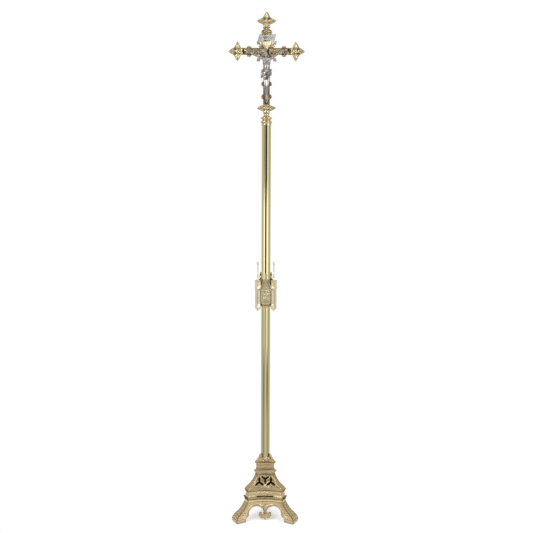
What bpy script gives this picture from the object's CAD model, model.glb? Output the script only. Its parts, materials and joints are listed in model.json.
"""Looks of the processional cross and its stand: castings with their relief, the silver figure,
metal finishes, studio light and the camera. All shapes are worked out in millimetres."""
import json
import math
import bpy
import numpy as np
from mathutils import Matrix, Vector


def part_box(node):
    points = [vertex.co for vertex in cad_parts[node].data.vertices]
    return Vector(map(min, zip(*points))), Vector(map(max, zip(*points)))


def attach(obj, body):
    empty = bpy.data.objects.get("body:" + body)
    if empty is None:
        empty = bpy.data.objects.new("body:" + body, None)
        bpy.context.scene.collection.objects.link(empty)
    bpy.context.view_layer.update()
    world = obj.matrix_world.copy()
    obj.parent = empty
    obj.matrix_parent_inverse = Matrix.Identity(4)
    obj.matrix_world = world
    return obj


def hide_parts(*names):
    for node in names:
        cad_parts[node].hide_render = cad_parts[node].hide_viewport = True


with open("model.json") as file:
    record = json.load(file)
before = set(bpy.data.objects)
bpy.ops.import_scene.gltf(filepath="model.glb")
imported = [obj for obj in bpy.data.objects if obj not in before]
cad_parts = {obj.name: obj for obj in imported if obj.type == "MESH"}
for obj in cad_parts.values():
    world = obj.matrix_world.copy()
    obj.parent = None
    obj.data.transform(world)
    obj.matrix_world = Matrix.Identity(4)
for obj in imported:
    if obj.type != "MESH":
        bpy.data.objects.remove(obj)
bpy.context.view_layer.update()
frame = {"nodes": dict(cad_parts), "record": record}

import openvdb
from mathutils import Matrix

MM = 0.001
record = frame["record"]
slot_of = {part["node"]: part["material_slot"] for part in record["subparts"]}
body_of = {node: body for body, nodes in record["behaviour"]["bodies"].items() for node in nodes}


def box_mm(node):
    """A CAD node's lowest and highest corner in millimetres."""
    low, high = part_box(node)
    return np.array(low) / MM, np.array(high) / MM


def heights(node):
    """A CAD node's lowest and highest z in millimetres."""
    low, high = box_mm(node)
    return low[2], high[2]


# ---- distance fields ----------------------------------------------------------------------
def smooth_min(a, b, k):
    """The union of two distance fields with a fillet of about k."""
    if k <= 0:
        return np.minimum(a, b)
    h = np.clip(0.5 + 0.5 * (b - a) / k, 0, 1)
    return b + (a - b) * h - k * h * (1 - h)


def smooth_max(a, b, k):
    """The part common to two distance fields, with an edge rounded by about k."""
    return -smooth_min(-a, -b, k)


def past(value, soft):
    """A soft step: near 0 where value is below zero and near 1 where it is above."""
    return 1 / (1 + np.exp(-value / soft))


def turned_by(yaw, bow, tilt):
    """Rotation matrix: turn about Z, then bow about X, then tilt about Y, in degrees."""
    a, c, t = (math.radians(v) for v in (yaw, bow, tilt))
    about_z = np.array([[math.cos(a), -math.sin(a), 0], [math.sin(a), math.cos(a), 0], [0, 0, 1]])
    about_x = np.array([[1, 0, 0], [0, math.cos(c), -math.sin(c)], [0, math.sin(c), math.cos(c)]])
    about_y = np.array([[math.cos(t), 0, math.sin(t)], [0, 1, 0], [-math.sin(t), 0, math.cos(t)]])
    return about_y @ about_x @ about_z


def ellipsoid(centre, radii, turn=None):
    """A shape: its distance function and the box that holds it. turn is a rotation matrix."""
    c = np.array(centre, float)
    r = np.array(radii, float)
    reach = np.full(3, r.max()) if turn is not None else r

    def distance(x, y, z):
        px, py, pz = x - c[0], y - c[1], z - c[2]
        if turn is not None:
            px, py, pz = (turn[0][i] * px + turn[1][i] * py + turn[2][i] * pz for i in range(3))
        k0 = np.sqrt((px / r[0]) ** 2 + (py / r[1]) ** 2 + (pz / r[2]) ** 2)
        k1 = np.sqrt((px / r[0] ** 2) ** 2 + (py / r[1] ** 2) ** 2 + (pz / r[2] ** 2) ** 2)
        return k0 * (k0 - 1) / (k1 + 1e-6)
    return distance, c - reach, c + reach


def round_cone(start, end, start_r, end_r):
    """A shape: a rod with round ends that thins from start_r to end_r."""
    a, b = np.array(start, float), np.array(end, float)
    ab = b - a
    length2 = float(ab @ ab)

    def distance(x, y, z):
        px, py, pz = x - a[0], y - a[1], z - a[2]
        t = np.clip((px * ab[0] + py * ab[1] + pz * ab[2]) / length2, 0, 1)
        off = np.sqrt((px - t * ab[0]) ** 2 + (py - t * ab[1]) ** 2 + (pz - t * ab[2]) ** 2)
        return off - (start_r + (end_r - start_r) * t)
    low = np.minimum(a - start_r, b - end_r)
    return distance, low, np.maximum(a + start_r, b + end_r)


class Block:
    """A block of voxels that holds one piece as a distance field, in millimetres."""

    def __init__(self, low, high, step):
        self.step = step
        self.low = np.array(low, float) - 2 * step
        self.count = (np.ceil((np.array(high) - self.low) / step) + 3).astype(int)
        axes = [(self.low[i] + step * np.arange(self.count[i])).astype(np.float32)
                for i in range(3)]
        self.x = axes[0][:, None, None]
        self.y = axes[1][None, :, None]
        self.z = axes[2][None, None, :]
        self.value = np.full(self.count, 50.0, np.float32)

    def join(self, shape, fillet=0.0, cut=False):
        """Add a shape to the piece, or cut it away, working only inside the shape's own box."""
        distance, low, high = shape
        margin = fillet + 3 * self.step
        first = np.floor((low - margin - self.low) / self.step).astype(int)
        last = np.ceil((high + margin - self.low) / self.step).astype(int) + 1
        first, last = np.clip(first, 0, self.count), np.clip(last, 0, self.count)
        if (last <= first).any():
            return
        i, j, k = (slice(f, l) for f, l in zip(first, last))
        new = distance(self.x[i], self.y[:, j], self.z[:, :, k])
        old = self.value[i, j, k]
        self.value[i, j, k] = (smooth_max(old, -new, fillet) if cut
                               else smooth_min(old, new, fillet))

    def mesh(self, name, smooth=2, most=0, reach=3.0, stain=None):
        """The piece's surface as a new mesh. Two attributes say how recessed each point is:
        closely, in mm, and as the share of solid within about reach mm, 0 on a flat. stain
        gives extra tarnish for points in mm."""
        band = 4 * self.step
        grid = openvdb.FloatGrid(band)
        field = np.clip(np.broadcast_to(self.value, self.count), -band, band)
        grid.copyFromArray(np.ascontiguousarray(field, dtype=np.float32))
        points, quads = grid.convertToQuads(0.0)
        points = points.astype(np.float64) * self.step + self.low
        quads = quads[:, ::-1].astype(np.int64)
        points = relaxed(points, quads, smooth)
        enclosed = self.enclosed(points, reach)
        if stain is not None:
            enclosed = enclosed + stain(*points.T)
        return make_mesh(name, points, quads, most, enclosed)

    def enclosed(self, points, reach):
        """The share of solid within about reach mm of each point, from -1 to 1, 0 on a flat."""
        solid = (np.broadcast_to(self.value, self.count)[::2, ::2, ::2] < 0).astype(np.float32)
        n = max(int(round(reach / (2 * self.step) / 1.4)), 1)
        for axis in range(3):
            for _ in range(2):
                wide = [(n + 1, n) if i == axis else (0, 0) for i in range(3)]
                total = np.cumsum(np.pad(solid, wide, mode="edge"), axis, dtype=np.float32)
                size = solid.shape[axis]
                high = np.take(total, range(2 * n + 1, 2 * n + 1 + size), axis)
                solid = (high - np.take(total, range(size), axis)) / (2 * n + 1)
        at = (points - self.low) / (2 * self.step)
        cell = np.clip(np.floor(at).astype(int), 0, np.array(solid.shape) - 2)
        part = np.clip(at - cell, 0, 1)
        value = 0
        for i in (0, 1):
            for j in (0, 1):
                for k in (0, 1):
                    share = 1
                    for axis, bit in enumerate((i, j, k)):
                        share = share * (part[:, axis] if bit else 1 - part[:, axis])
                    value = value + share * solid[cell[:, 0] + i, cell[:, 1] + j, cell[:, 2] + k]
        return 2 * value - 1


SMOOTH_SHARES = (0.55, -0.57)    # a step inwards and one back, so that nothing shrinks
LEVEL_ROUNDS = 8


def neighbour_mean(quads, count):
    """A function that moves each of count points to the middle of its neighbours."""
    pairs = np.concatenate([quads[:, [i, (i + 1) % 4]] for i in range(4)])
    ends = np.concatenate([pairs[:, 0], pairs[:, 1]])
    others = np.concatenate([pairs[:, 1], pairs[:, 0]])
    total = np.maximum(np.bincount(ends, minlength=count), 1)

    def mean(points):
        return np.stack([np.bincount(ends, points[others, i], count) / total
                         for i in range(3)], axis=1)
    return mean


def relaxed(points, quads, rounds):
    """Points moved part of the way to the middle of their neighbours, which evens out voxels."""
    mean = neighbour_mean(quads, len(points))
    for _ in range(rounds):
        for share in SMOOTH_SHARES:
            points = points + share * (mean(points) - points)
    return points


def recess_of(points, quads):
    """How far each point lies under the level of its surroundings, in millimetres."""
    corners = points[quads]
    normal = np.cross(corners[:, 2] - corners[:, 0], corners[:, 3] - corners[:, 1])
    out = np.zeros_like(points)
    for i in range(4):
        for axis in range(3):
            out[:, axis] += np.bincount(quads[:, i], normal[:, axis], len(points))
    out /= np.linalg.norm(out, axis=1, keepdims=True) + 1e-12
    mean = neighbour_mean(quads, len(points))
    level = points
    for _ in range(LEVEL_ROUNDS):
        level = mean(level)
    return ((level - points) * out).sum(axis=1)


def make_mesh(name, points, quads, most=0, enclosed=None):
    """A mesh in metres from points in millimetres, thinned to about most triangles if asked.
    With enclosed given, it carries the two attributes that tarnish goes by."""
    mesh = bpy.data.meshes.new(name)
    mesh.vertices.add(len(points))
    mesh.vertices.foreach_set("co", (points * MM).astype(np.float32).ravel())
    mesh.loops.add(quads.size)
    mesh.loops.foreach_set("vertex_index", quads.astype(np.int32).ravel())
    mesh.polygons.add(len(quads))
    mesh.polygons.foreach_set("loop_start", np.arange(0, quads.size, 4, dtype=np.int32))
    mesh.update(calc_edges=True)
    mesh.validate()
    if enclosed is not None:
        for key, values in (("recess", recess_of(points, quads)), ("enclosed", enclosed)):
            attribute = mesh.attributes.new(key, "FLOAT", "POINT")
            attribute.data.foreach_set("value", values.astype(np.float32))
    mesh.shade_smooth()
    if most and 2 * len(quads) > most:
        thin = bpy.data.objects.new(name, mesh)
        bpy.context.scene.collection.objects.link(thin)
        decimate = thin.modifiers.new("thin", "DECIMATE")
        decimate.ratio = most / (2 * len(quads))
        graph = bpy.context.evaluated_depsgraph_get()
        mesh = bpy.data.meshes.new_from_object(thin.evaluated_get(graph))
        mesh.name = name
        bpy.data.objects.remove(thin)
        mesh.shade_smooth()
    return mesh


# ---- flat drawings, used as relief ----------------------------------------------------------
def through(points, per=8):
    """A smooth curve through the given points, in per steps from each to the next."""
    p = np.array(points, float)
    last = len(p) - 1
    out = []
    for i in range(last):
        a, b, c, d = (p[min(max(i + k, 0), last)] for k in (-1, 0, 1, 2))
        for t in np.arange(per) / per:
            out.append(0.5 * (2 * b + (c - a) * t + (2 * a - 5 * b + 4 * c - d) * t * t
                              + (3 * b - a - 3 * c + d) * t ** 3))
    return np.array(out + [p[-1]])


def line_distance(a, b, points, closed=False):
    """Distance from each (a, b) to the line through the points."""
    points = np.array(points, float)
    best = np.full(np.broadcast(a, b).shape, 1e6)
    ends = np.roll(points, -1, axis=0) if closed else points[1:]
    for p, q in zip(points, ends):
        v = q - p
        t = np.clip(((a - p[0]) * v[0] + (b - p[1]) * v[1]) / max(v @ v, 1e-9), 0, 1)
        best = np.minimum(best, (a - p[0] - t * v[0]) ** 2 + (b - p[1] - t * v[1]) ** 2)
    return np.sqrt(best)


def outline_distance(a, b, points):
    """Signed distance to a closed outline, negative inside."""
    points = np.array(points, float)
    inside = np.zeros(np.broadcast(a, b).shape, bool)
    for p, q in zip(points, np.roll(points, -1, axis=0)):
        crosses = (p[1] > b) != (q[1] > b)
        at = (q[0] - p[0]) * (b - p[1]) / (q[1] - p[1] if q[1] != p[1] else 1e-9) + p[0]
        inside ^= crosses & (a < at)
    away = line_distance(a, b, points, closed=True)
    return np.where(inside, -away, away)


def both_sides(half):
    """A closed outline from its right half, given from bottom to top."""
    half = np.array(half, float)
    left = half[::-1] * [-1, 1]
    keep = np.abs(left[:, 0]) > 1e-6
    return np.concatenate([half, left[keep]])


def leaf(a, b, root, tip, width, height, vein=0.35):
    """Relief of one leaf: a cushion from root to tip, width across, with a groove as its vein."""
    root, tip = np.array(root, float), np.array(tip, float)
    axis = tip - root
    length = math.hypot(*axis)
    axis /= length
    s = ((a - root[0]) * axis[0] + (b - root[1]) * axis[1]) / length
    t = (a - root[0]) * -axis[1] + (b - root[1]) * axis[0]
    inside = np.clip(s, 0, 1)
    half = width / 2 * np.sin(np.pi * inside ** 0.75) ** 0.8 + 1e-3
    cushion = np.clip(1 - (t / half) ** 2, 0, 1) ** 0.5
    groove = vein * np.exp(-(t / (0.16 * width)) ** 2)
    shape = cushion * (1 - groove) * np.clip(4 * inside * (1 - inside) + 0.25, 0, 1)
    return np.where((s > 0) & (s < 1), height * shape, 0)


def bead(distance, radius, height=None):
    """Relief of a round bead or rib along a line, from the distance to that line."""
    height = radius if height is None else height
    return height * np.sqrt(np.clip(1 - (distance / radius) ** 2, 0, 1))


class Table:
    """A drawing over an (a, b) rectangle that fields look up."""

    def __init__(self, low, high, step):
        self.low = low
        self.step = step
        self.shape = [int((h - l) / step) + 2 for l, h in zip(low, high)]
        self.a = (low[0] + step * np.arange(self.shape[0]))[:, None]
        self.b = (low[1] + step * np.arange(self.shape[1]))[None, :]
        self.value = np.zeros(self.shape, np.float32)

    def at(self, a, b):
        """The drawing's value at (a, b), between its points too."""
        i = np.clip((a - self.low[0]) / self.step, 0, self.shape[0] - 1.001).astype(np.float32)
        j = np.clip((b - self.low[1]) / self.step, 0, self.shape[1] - 1.001).astype(np.float32)
        i, j = np.broadcast_arrays(i, j)
        i0, j0 = i.astype(np.int32), j.astype(np.int32)
        u, v = i - i0, j - j0
        g = self.value
        return ((g[i0, j0] * (1 - u) + g[i0 + 1, j0] * u) * (1 - v)
                + (g[i0, j0 + 1] * (1 - u) + g[i0 + 1, j0 + 1] * u) * v)


# ---- pieces -------------------------------------------------------------------------------
def piece(name, mesh, node, material, turn=0.0):
    """A new piece, turned about Z by turn degrees, that rides with a CAD node's body, takes its
    slot and stands in for it."""
    thing = bpy.data.objects.new(name, mesh)
    bpy.context.scene.collection.objects.link(thing)
    if turn:
        thing.rotation_euler[2] = math.radians(turn)
    thing.data.materials.clear()
    thing.data.materials.append(material)
    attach(thing, body_of[node])
    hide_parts(node)


def lathe(name, outline, around=96):
    """A turned piece from its (radius, height) outline in millimetres, closed on itself."""
    outline = np.array(outline, float)
    n = len(outline)
    angles = np.arange(around) * 2 * math.pi / around
    points = np.stack([np.outer(np.cos(angles), outline[:, 0]),
                       np.outer(np.sin(angles), outline[:, 0]),
                       np.tile(outline[:, 1], (around, 1))], axis=2).reshape(-1, 3)
    i = np.arange(around)[:, None]
    j = np.arange(n)[None, :]
    k = (j + 1) % n
    m = (i + 1) % around
    quads = np.stack([i * n + j, m * n + j, m * n + k, i * n + k], axis=2).reshape(-1, 4)
    return make_mesh(name, points, quads)


# ---- materials ----------------------------------------------------------------------------
class Nodes:
    """Short names for building the nodes of a material or a world, its owner."""

    def __init__(self, owner):
        self.owner = owner
        owner.use_nodes = True
        self.tree = owner.node_tree
        self.shader = self.tree.nodes.get("Principled BSDF")

    def add(self, kind, **values):
        node = self.tree.nodes.new(kind)
        for key, value in values.items():
            setattr(node, key, value)
        return node

    def link(self, out, into):
        self.tree.links.new(out, into)

    def noise(self, scale, detail=3.0, stretch=None):
        """Noise over the object's own coordinates, in features per metre."""
        where = self.add("ShaderNodeTexCoord").outputs["Object"]
        if stretch:
            mapping = self.add("ShaderNodeMapping")
            mapping.inputs["Scale"].default_value = stretch
            self.link(where, mapping.inputs["Vector"])
            where = mapping.outputs["Vector"]
        noise = self.add("ShaderNodeTexNoise")
        noise.inputs["Scale"].default_value = scale
        noise.inputs["Detail"].default_value = detail
        self.link(where, noise.inputs["Vector"])
        return noise.outputs["Fac"]

    def range(self, value, low, high, to_low=0.0, to_high=1.0):
        """Value scaled so that low to high becomes to_low to to_high, and held there."""
        node = self.add("ShaderNodeMapRange")
        for key, number in (("From Min", low), ("From Max", high), ("To Min", to_low),
                            ("To Max", to_high)):
            node.inputs[key].default_value = number
        self.link(value, node.inputs["Value"])
        return node.outputs["Result"]

    def mix(self, factor, a, b):
        """Colour a where the factor is 0 and b where it is 1."""
        node = self.add("ShaderNodeMix", data_type="RGBA")
        self.link(factor, node.inputs["Factor"])
        for socket, value in ((node.inputs[6], a), (node.inputs[7], b)):
            if isinstance(value, tuple):
                socket.default_value = (*value, 1.0)
            else:
                self.link(value, socket)
        return node.outputs[2]

    def math(self, operation, a, b):
        node = self.add("ShaderNodeMath", operation=operation)
        for socket, value in zip(node.inputs, (a, b)):
            if isinstance(value, (int, float)):
                socket.default_value = value
            else:
                self.link(value, socket)
        return node.outputs[0]

    def bump(self, height, strength, distance):
        node = self.add("ShaderNodeBump")
        node.inputs["Strength"].default_value = strength
        node.inputs["Distance"].default_value = distance
        self.link(height, node.inputs["Height"])
        self.link(node.outputs["Normal"], self.shader.inputs["Normal"])


def metal(name, colour, warm, dark, rough, grain=0.0, depth=0.6, edge=None, stretch=None,
          hollow=(0.25, 0.75)):
    """A metal finish: cloudy colour, dark in its recesses, brighter where edges are rubbed,
    uneven polish and a fine grain. depth is the recess in mm that is fully dark, and hollow
    the range of enclosure over which tarnish gathers."""
    n = Nodes(bpy.data.materials.new(name))
    n.shader.inputs["Metallic"].default_value = 1.0
    recess = n.add("ShaderNodeAttribute", attribute_name="recess").outputs["Fac"]
    enclosed = n.add("ShaderNodeAttribute", attribute_name="enclosed").outputs["Fac"]
    clouds = n.noise(38.0, 4.0, stretch)
    base = n.mix(n.range(clouds, 0.35, 0.68), colour, warm)
    if dark is not None:
        tarnish = n.math("ADD", n.range(recess, 0.02, depth),
                         n.range(clouds, 0.2, 0.9, -0.12, 0.12))
        tarnish = n.math("ADD", tarnish, n.range(enclosed, *hollow))
        base = n.mix(n.range(tarnish, 0.0, 1.0), base, dark)
    if edge is not None:
        base = n.mix(n.range(recess, -0.08, -0.5 * depth), base, edge)
    n.link(base, n.shader.inputs["Base Color"])
    fine = n.noise(420.0, 5.0, stretch)
    polish = n.math("ADD", n.range(clouds, 0.3, 0.7, rough[0], rough[1]),
                    n.range(fine, 0.3, 0.8, 0.0, 0.06))
    if dark is not None:
        polish = n.math("ADD", polish, n.range(recess, 0.05, depth, 0.0, 0.25))
    n.link(polish, n.shader.inputs["Roughness"])
    if grain:
        n.bump(n.noise(900.0, 4.0, stretch), grain, 0.0004)
    return n.owner


CAST = metal("cast_brass", (0.455, 0.35, 0.185), (0.50, 0.365, 0.21), (0.085, 0.055, 0.022),
             (0.20, 0.34), grain=0.25, depth=0.7, edge=(0.88, 0.77, 0.50), hollow=(0.10, 0.55))
BRIGHT = metal("cast_brass_bright", (0.56, 0.455, 0.235), (0.58, 0.43, 0.235),
               (0.035, 0.021, 0.006), (0.15, 0.28), grain=0.15, depth=0.34,
               edge=(0.86, 0.77, 0.54), hollow=(0.12, 0.55))
FOLIATE = metal("foliate_brass", (0.68, 0.58, 0.33), (0.68, 0.53, 0.31), (0.035, 0.022, 0.008),
                (0.18, 0.32), grain=0.15, depth=0.34, edge=(0.92, 0.83, 0.58), hollow=(0.16, 0.65))
KNOP = metal("knop_brass", (0.76, 0.67, 0.43), (0.72, 0.60, 0.37), (0.045, 0.028, 0.010),
             (0.30, 0.42), grain=0.10, depth=0.45, edge=(0.97, 0.92, 0.72), hollow=(0.24, 0.72))
PIER = metal("pier_brass", (0.95, 0.87, 0.62), (0.90, 0.78, 0.54), (0.05, 0.033, 0.012),
             (0.26, 0.40), grain=0.10, depth=0.5, edge=(0.99, 0.96, 0.82), hollow=(0.30, 0.85))
RAYED = metal("rayed_brass", (0.82, 0.75, 0.52), (0.80, 0.70, 0.46), (0.16, 0.105, 0.035),
              (0.20, 0.32), depth=0.22, edge=(0.96, 0.92, 0.74), hollow=(0.06, 0.5))
ROUGH = metal("rough_brass", (0.045, 0.034, 0.018), (0.06, 0.042, 0.022), None, (0.55, 0.75))
POLISHED = metal("polished_brass", (0.70, 0.635, 0.345), (0.73, 0.64, 0.36), None,
                 (0.02, 0.06), stretch=(1.0, 1.0, 0.08))
TURNED = metal("turned_brass", (0.66, 0.54, 0.32), (0.62, 0.48, 0.27), (0.12, 0.08, 0.03),
               (0.16, 0.28), stretch=(1.0, 1.0, 14.0), grain=0.1)
SILVER = metal("oxidised_silver", (0.57, 0.535, 0.50), (0.47, 0.43, 0.40), (0.006, 0.005, 0.005),
               (0.26, 0.40), depth=0.28, edge=(0.90, 0.88, 0.85), hollow=(0.14, 0.52))
SCROLL = metal("scroll_silver", (0.78, 0.76, 0.73), (0.66, 0.63, 0.60), (0.008, 0.007, 0.006),
               (0.44, 0.54), depth=0.22, edge=(0.93, 0.92, 0.90), hollow=(0.26, 0.80))
STEEL = metal("plain_steel", (0.42, 0.42, 0.43), (0.36, 0.36, 0.36), None, (0.28, 0.42),
              grain=0.15)


def soft_material(name, colour, other, rough, scale, depth):
    """Felt or hide: mottled colour, matte, with a fibrous bump."""
    n = Nodes(bpy.data.materials.new(name))
    n.link(n.mix(n.range(n.noise(scale, 5.0), 0.3, 0.7), colour, other),
           n.shader.inputs["Base Color"])
    n.shader.inputs["Roughness"].default_value = rough
    n.bump(n.noise(scale * 5, 6.0), 0.6, depth)
    return n.owner


FELT = soft_material("felt", (0.05, 0.10, 0.06), (0.08, 0.14, 0.08), 0.95, 260.0, 0.0006)
HIDE = soft_material("leather_washer", (0.10, 0.05, 0.025), (0.16, 0.09, 0.045), 0.7, 300.0,
                     0.0003)
MATERIALS = {"cast_brass": CAST, "cast_brass_bright": BRIGHT, "polished_brass": POLISHED,
             "turned_brass": TURNED, "oxidised_silver": SILVER, "plain_steel": STEEL,
             "felt": FELT, "leather_washer": HIDE}
for node_name, node_object in frame["nodes"].items():
    node_object.data.materials.clear()
    # the socket's tube is never polished, and shows dark through the pierced casting
    finish = ROUGH if node_name == "socket_tube" else MATERIALS[slot_of[node_name]]
    node_object.data.materials.append(finish)


# ---- the stand: three-cornered castings -----------------------------------------------------
SIN60 = 0.8660254


def toward_corner(x, y):
    """How far a point lies out towards the nearest of three corners, and to the side of it."""
    angle = np.arctan2(y, x) - math.pi / 2
    radius = np.hypot(x, y)
    third = 2 * math.pi / 3
    folded = np.abs((angle + third / 2) % third - third / 2)
    return radius * np.cos(folded), radius * np.sin(folded)


def toward_side(out, side):
    """The same place seen from the nearest side: out towards it, and along it."""
    return out * 0.5 + side * SIN60, out * SIN60 - side * 0.5


def side_centre(corner, width, middle):
    """Distance from the axis to the centre of the arc that hollows a side."""
    end_out = corner * 0.5 + width * (SIN60 / 2)
    end_along = corner * SIN60 - width * 0.25
    return (end_out ** 2 + end_along ** 2 - middle ** 2) / (2 * (end_out - middle))


class Casting:
    """A three-cornered casting as a field. Sections are (height, corner distance, corner
    width, distance of each hollow side's middle)."""

    def __init__(self, sections, step, soften=1.2):
        rows = np.array(sections, float)
        reach = rows[:, 1].max() + 4
        wide = reach * 0.866 + rows[:, 2].max() / 4
        self.block = Block((-wide, -reach / 2 - rows[:, 2].max() * 0.45, rows[0, 0]),
                           (wide, reach, rows[-1, 0]), step)
        plan = toward_corner(self.block.x[:, :, 0], self.block.y[:, :, 0])
        self.out, self.side = (part.astype(np.float32)[:, :, None] for part in plan)
        self.facing, self.along = toward_side(self.out, self.side)
        z = self.block.z[0, 0]
        fine = np.arange(z[0] - 6, z[-1] + 6, 0.25)
        width = max(int(soften / 0.25) | 1, 1)
        kernel = np.hanning(width + 2)[1:-1]
        kernel /= kernel.sum()
        self.rows = [np.interp(z, fine, np.convolve(np.pad(np.interp(
            fine, rows[:, 0], rows[:, i]), width, mode="edge"), kernel, "same")[width:-width])
            for i in (1, 2, 3)]

    def field(self, inset=0.0):
        """Distance to the casting's sides, shrunk by inset."""
        corner, width, middle = (r.astype(np.float32)[None, None, :] - inset for r in self.rows)
        centre = side_centre(corner, width, middle)
        radius = centre - middle
        hollow = radius - np.sqrt((self.facing - centre) ** 2 + self.along ** 2)
        return smooth_max(self.out - corner, hollow, 1.5)

    def between(self, low, high):
        """Distance to the slab from low to high."""
        return np.maximum(low - self.block.z, self.block.z - high)

    def inside_stain(self, x, y, z):
        """Tarnish for points deeper than the skin: the castings are left rough inside."""
        out, side = toward_corner(x, y)
        facing, along = toward_side(out, side)
        corner, width, middle = (np.interp(z, self.block.z[0, 0], r) for r in self.rows)
        centre = side_centre(corner, width, middle)
        depth = np.hypot(facing - centre, along) - (centre - middle)
        return 1.3 * np.clip((np.minimum(depth, corner - out) - 3.2) / 0.8, 0, 1)


WALL = 4.5    # thickness of the hollow castings
SOCKET_R = (box_mm("socket_tube")[1] - box_mm("socket_tube")[0])[0] / 2
ARCH_X, ARCH_Z, ARCH_R = 37.3, 34.0, 31.8    # the round arches, two to a side
BLOCK_X, BLOCK_H = 83.0, 20.0                # where each solid toe starts, and its height


def make_foot():
    """The lowest casting: scaled legs, knuckled toes, and moulded arches over open space."""
    top = heights("tripod_foot")[1]
    sections = [(0, 147, 44, 53), (3, 150, 45, 53), (8, 152.6, 46, 53), (14, 153.2, 46, 53),
                (21, 151, 45, 53), (28, 146.5, 43.5, 52.5), (35, 140.5, 42, 52),
                (42, 131, 40, 51), (50, 121, 38, 50), (59, 112, 36.5, 49), (68, 105.4, 35, 48),
                (77, 99.5, 33.5, 47.5), (86, 95.4, 32, 47.2), (91, 94.4, 32, 47.0),
                (93, 96.4, 33, 48.4), (96, 96.4, 33, 48.4), (top, 95.5, 32.6, 48)]
    c = Casting(sections, 1.1)
    b = c.block
    opening = Table((0, -4), (150, 112), 0.5)
    a, z = opening.a, opening.b
    arch = np.hypot(a - ARCH_X, z - ARCH_Z) - ARCH_R
    gap = outline_distance(a, z, [
        (-5, -9), (BLOCK_X, -9), (BLOCK_X, BLOCK_H - 0.5), (77, 20.5), (70.5, 25.5), (68.8, 32),
        (66, 41), (6.2, 41), (-5, 41)])
    opening.value[:] = np.minimum(np.where(z > 24, arch, 9), gap)
    relief = Table((0, -4), (150, 112), 0.5)
    # a double moulding that follows the arches, comes to a point, and runs out over the foot
    path = np.concatenate([
        [(0, 62)], through([(6, 60.5), (14, 64.5), (25, 70.5), (ARCH_X, 72.0), (50, 69.5),
                            (62, 62), (70, 50), (75, 38), (83, 27.5), (98, 21)])])
    roll = line_distance(a, z, path)
    groove = outline_distance(a, z, np.concatenate([path, [(96, -9), (0, -9)]]))
    inner_roll = np.abs(np.minimum(groove, 60) + 6.0)
    relief.value[:] = (bead(roll, 1.7, 2.6) + bead(inner_roll, 1.4, 1.6) * (a < 82) * (z > 24)
                       - bead(np.abs(groove + 3.2), 1.3, 1.6) * (a < 82) * (z > 24)
                       + bead(line_distance(a, z, [(0, 84.5), (150, 84.5)]), 1.2, 1.0)
                       + leaf(a, z, (0, 72), (0, 59), 7, 2.6)
                       + leaf(a, z, (7, 71), (1.5, 60), 4, 2.2))
    sides = c.field()
    facing_zone = past(c.side - 20.0, 1.5)
    body = sides - relief.at(c.along, b.z) * facing_zone
    # overlapping scales down the outer face of each leg, and knuckles across the toe
    corner_zone = 1 - facing_zone
    phase = (b.z + 0.55 * c.side) / 7.4
    scales = (1 - (phase % 1.0)) * (b.z > 44) * (b.z < 84)
    ridge = bead(np.abs(c.side), 2.2, 1.2) * (b.z > 44)
    knuckles = 1.9 * np.abs(np.sin((b.z + 0.25 * c.side) * math.pi / 8.6))
    knuckles = knuckles * ((b.z > 3) & (b.z < 46))
    body = body - corner_zone * (scales + ridge + knuckles) + corner_zone * 0.9
    inner = np.maximum(c.field(WALL), b.z - (top - WALL))
    hollow = np.maximum(body, -inner)
    holes = np.where(c.facing > 0, opening.at(c.along, b.z), 9)
    hollow = smooth_max(hollow, -holes, 1.0)
    block = np.maximum(np.maximum(body, b.z - BLOCK_H), BLOCK_X - c.along)
    flare = np.maximum(body - 0.9, np.abs(b.z - (BLOCK_H - 1.6)) - 1.4)
    flare = np.maximum(flare, BLOCK_X - 1.5 - c.along)
    body = smooth_min(hollow, np.minimum(block, flare), 0.8)
    body = np.maximum(np.maximum(body, c.between(0.05, top)), c.out - 153.2)
    body = np.maximum(body, np.where(b.z > top - WALL - 2,
                                     SOCKET_R - np.hypot(b.x, b.y), -9))
    b.value = body
    return b.mesh("tripod_foot_casting", 2, 190000,
                  stain=lambda x, y, z: c.inside_stain(x, y, z) * (z > BLOCK_H + 2))


def corner_stain(low, high, corner, amount):
    """Tarnish on a ledge's three corner ends, further out than corner mm from the axis."""
    def stain(x, y, z):
        out = np.max([x * math.cos(math.radians(angle)) + y * math.sin(math.radians(angle))
                      for angle in (-30, 90, 210)], axis=0)
        return amount * np.clip((out - corner) / 1.5, 0, 1) * ((z > low) & (z < high))
    return stain


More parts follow.
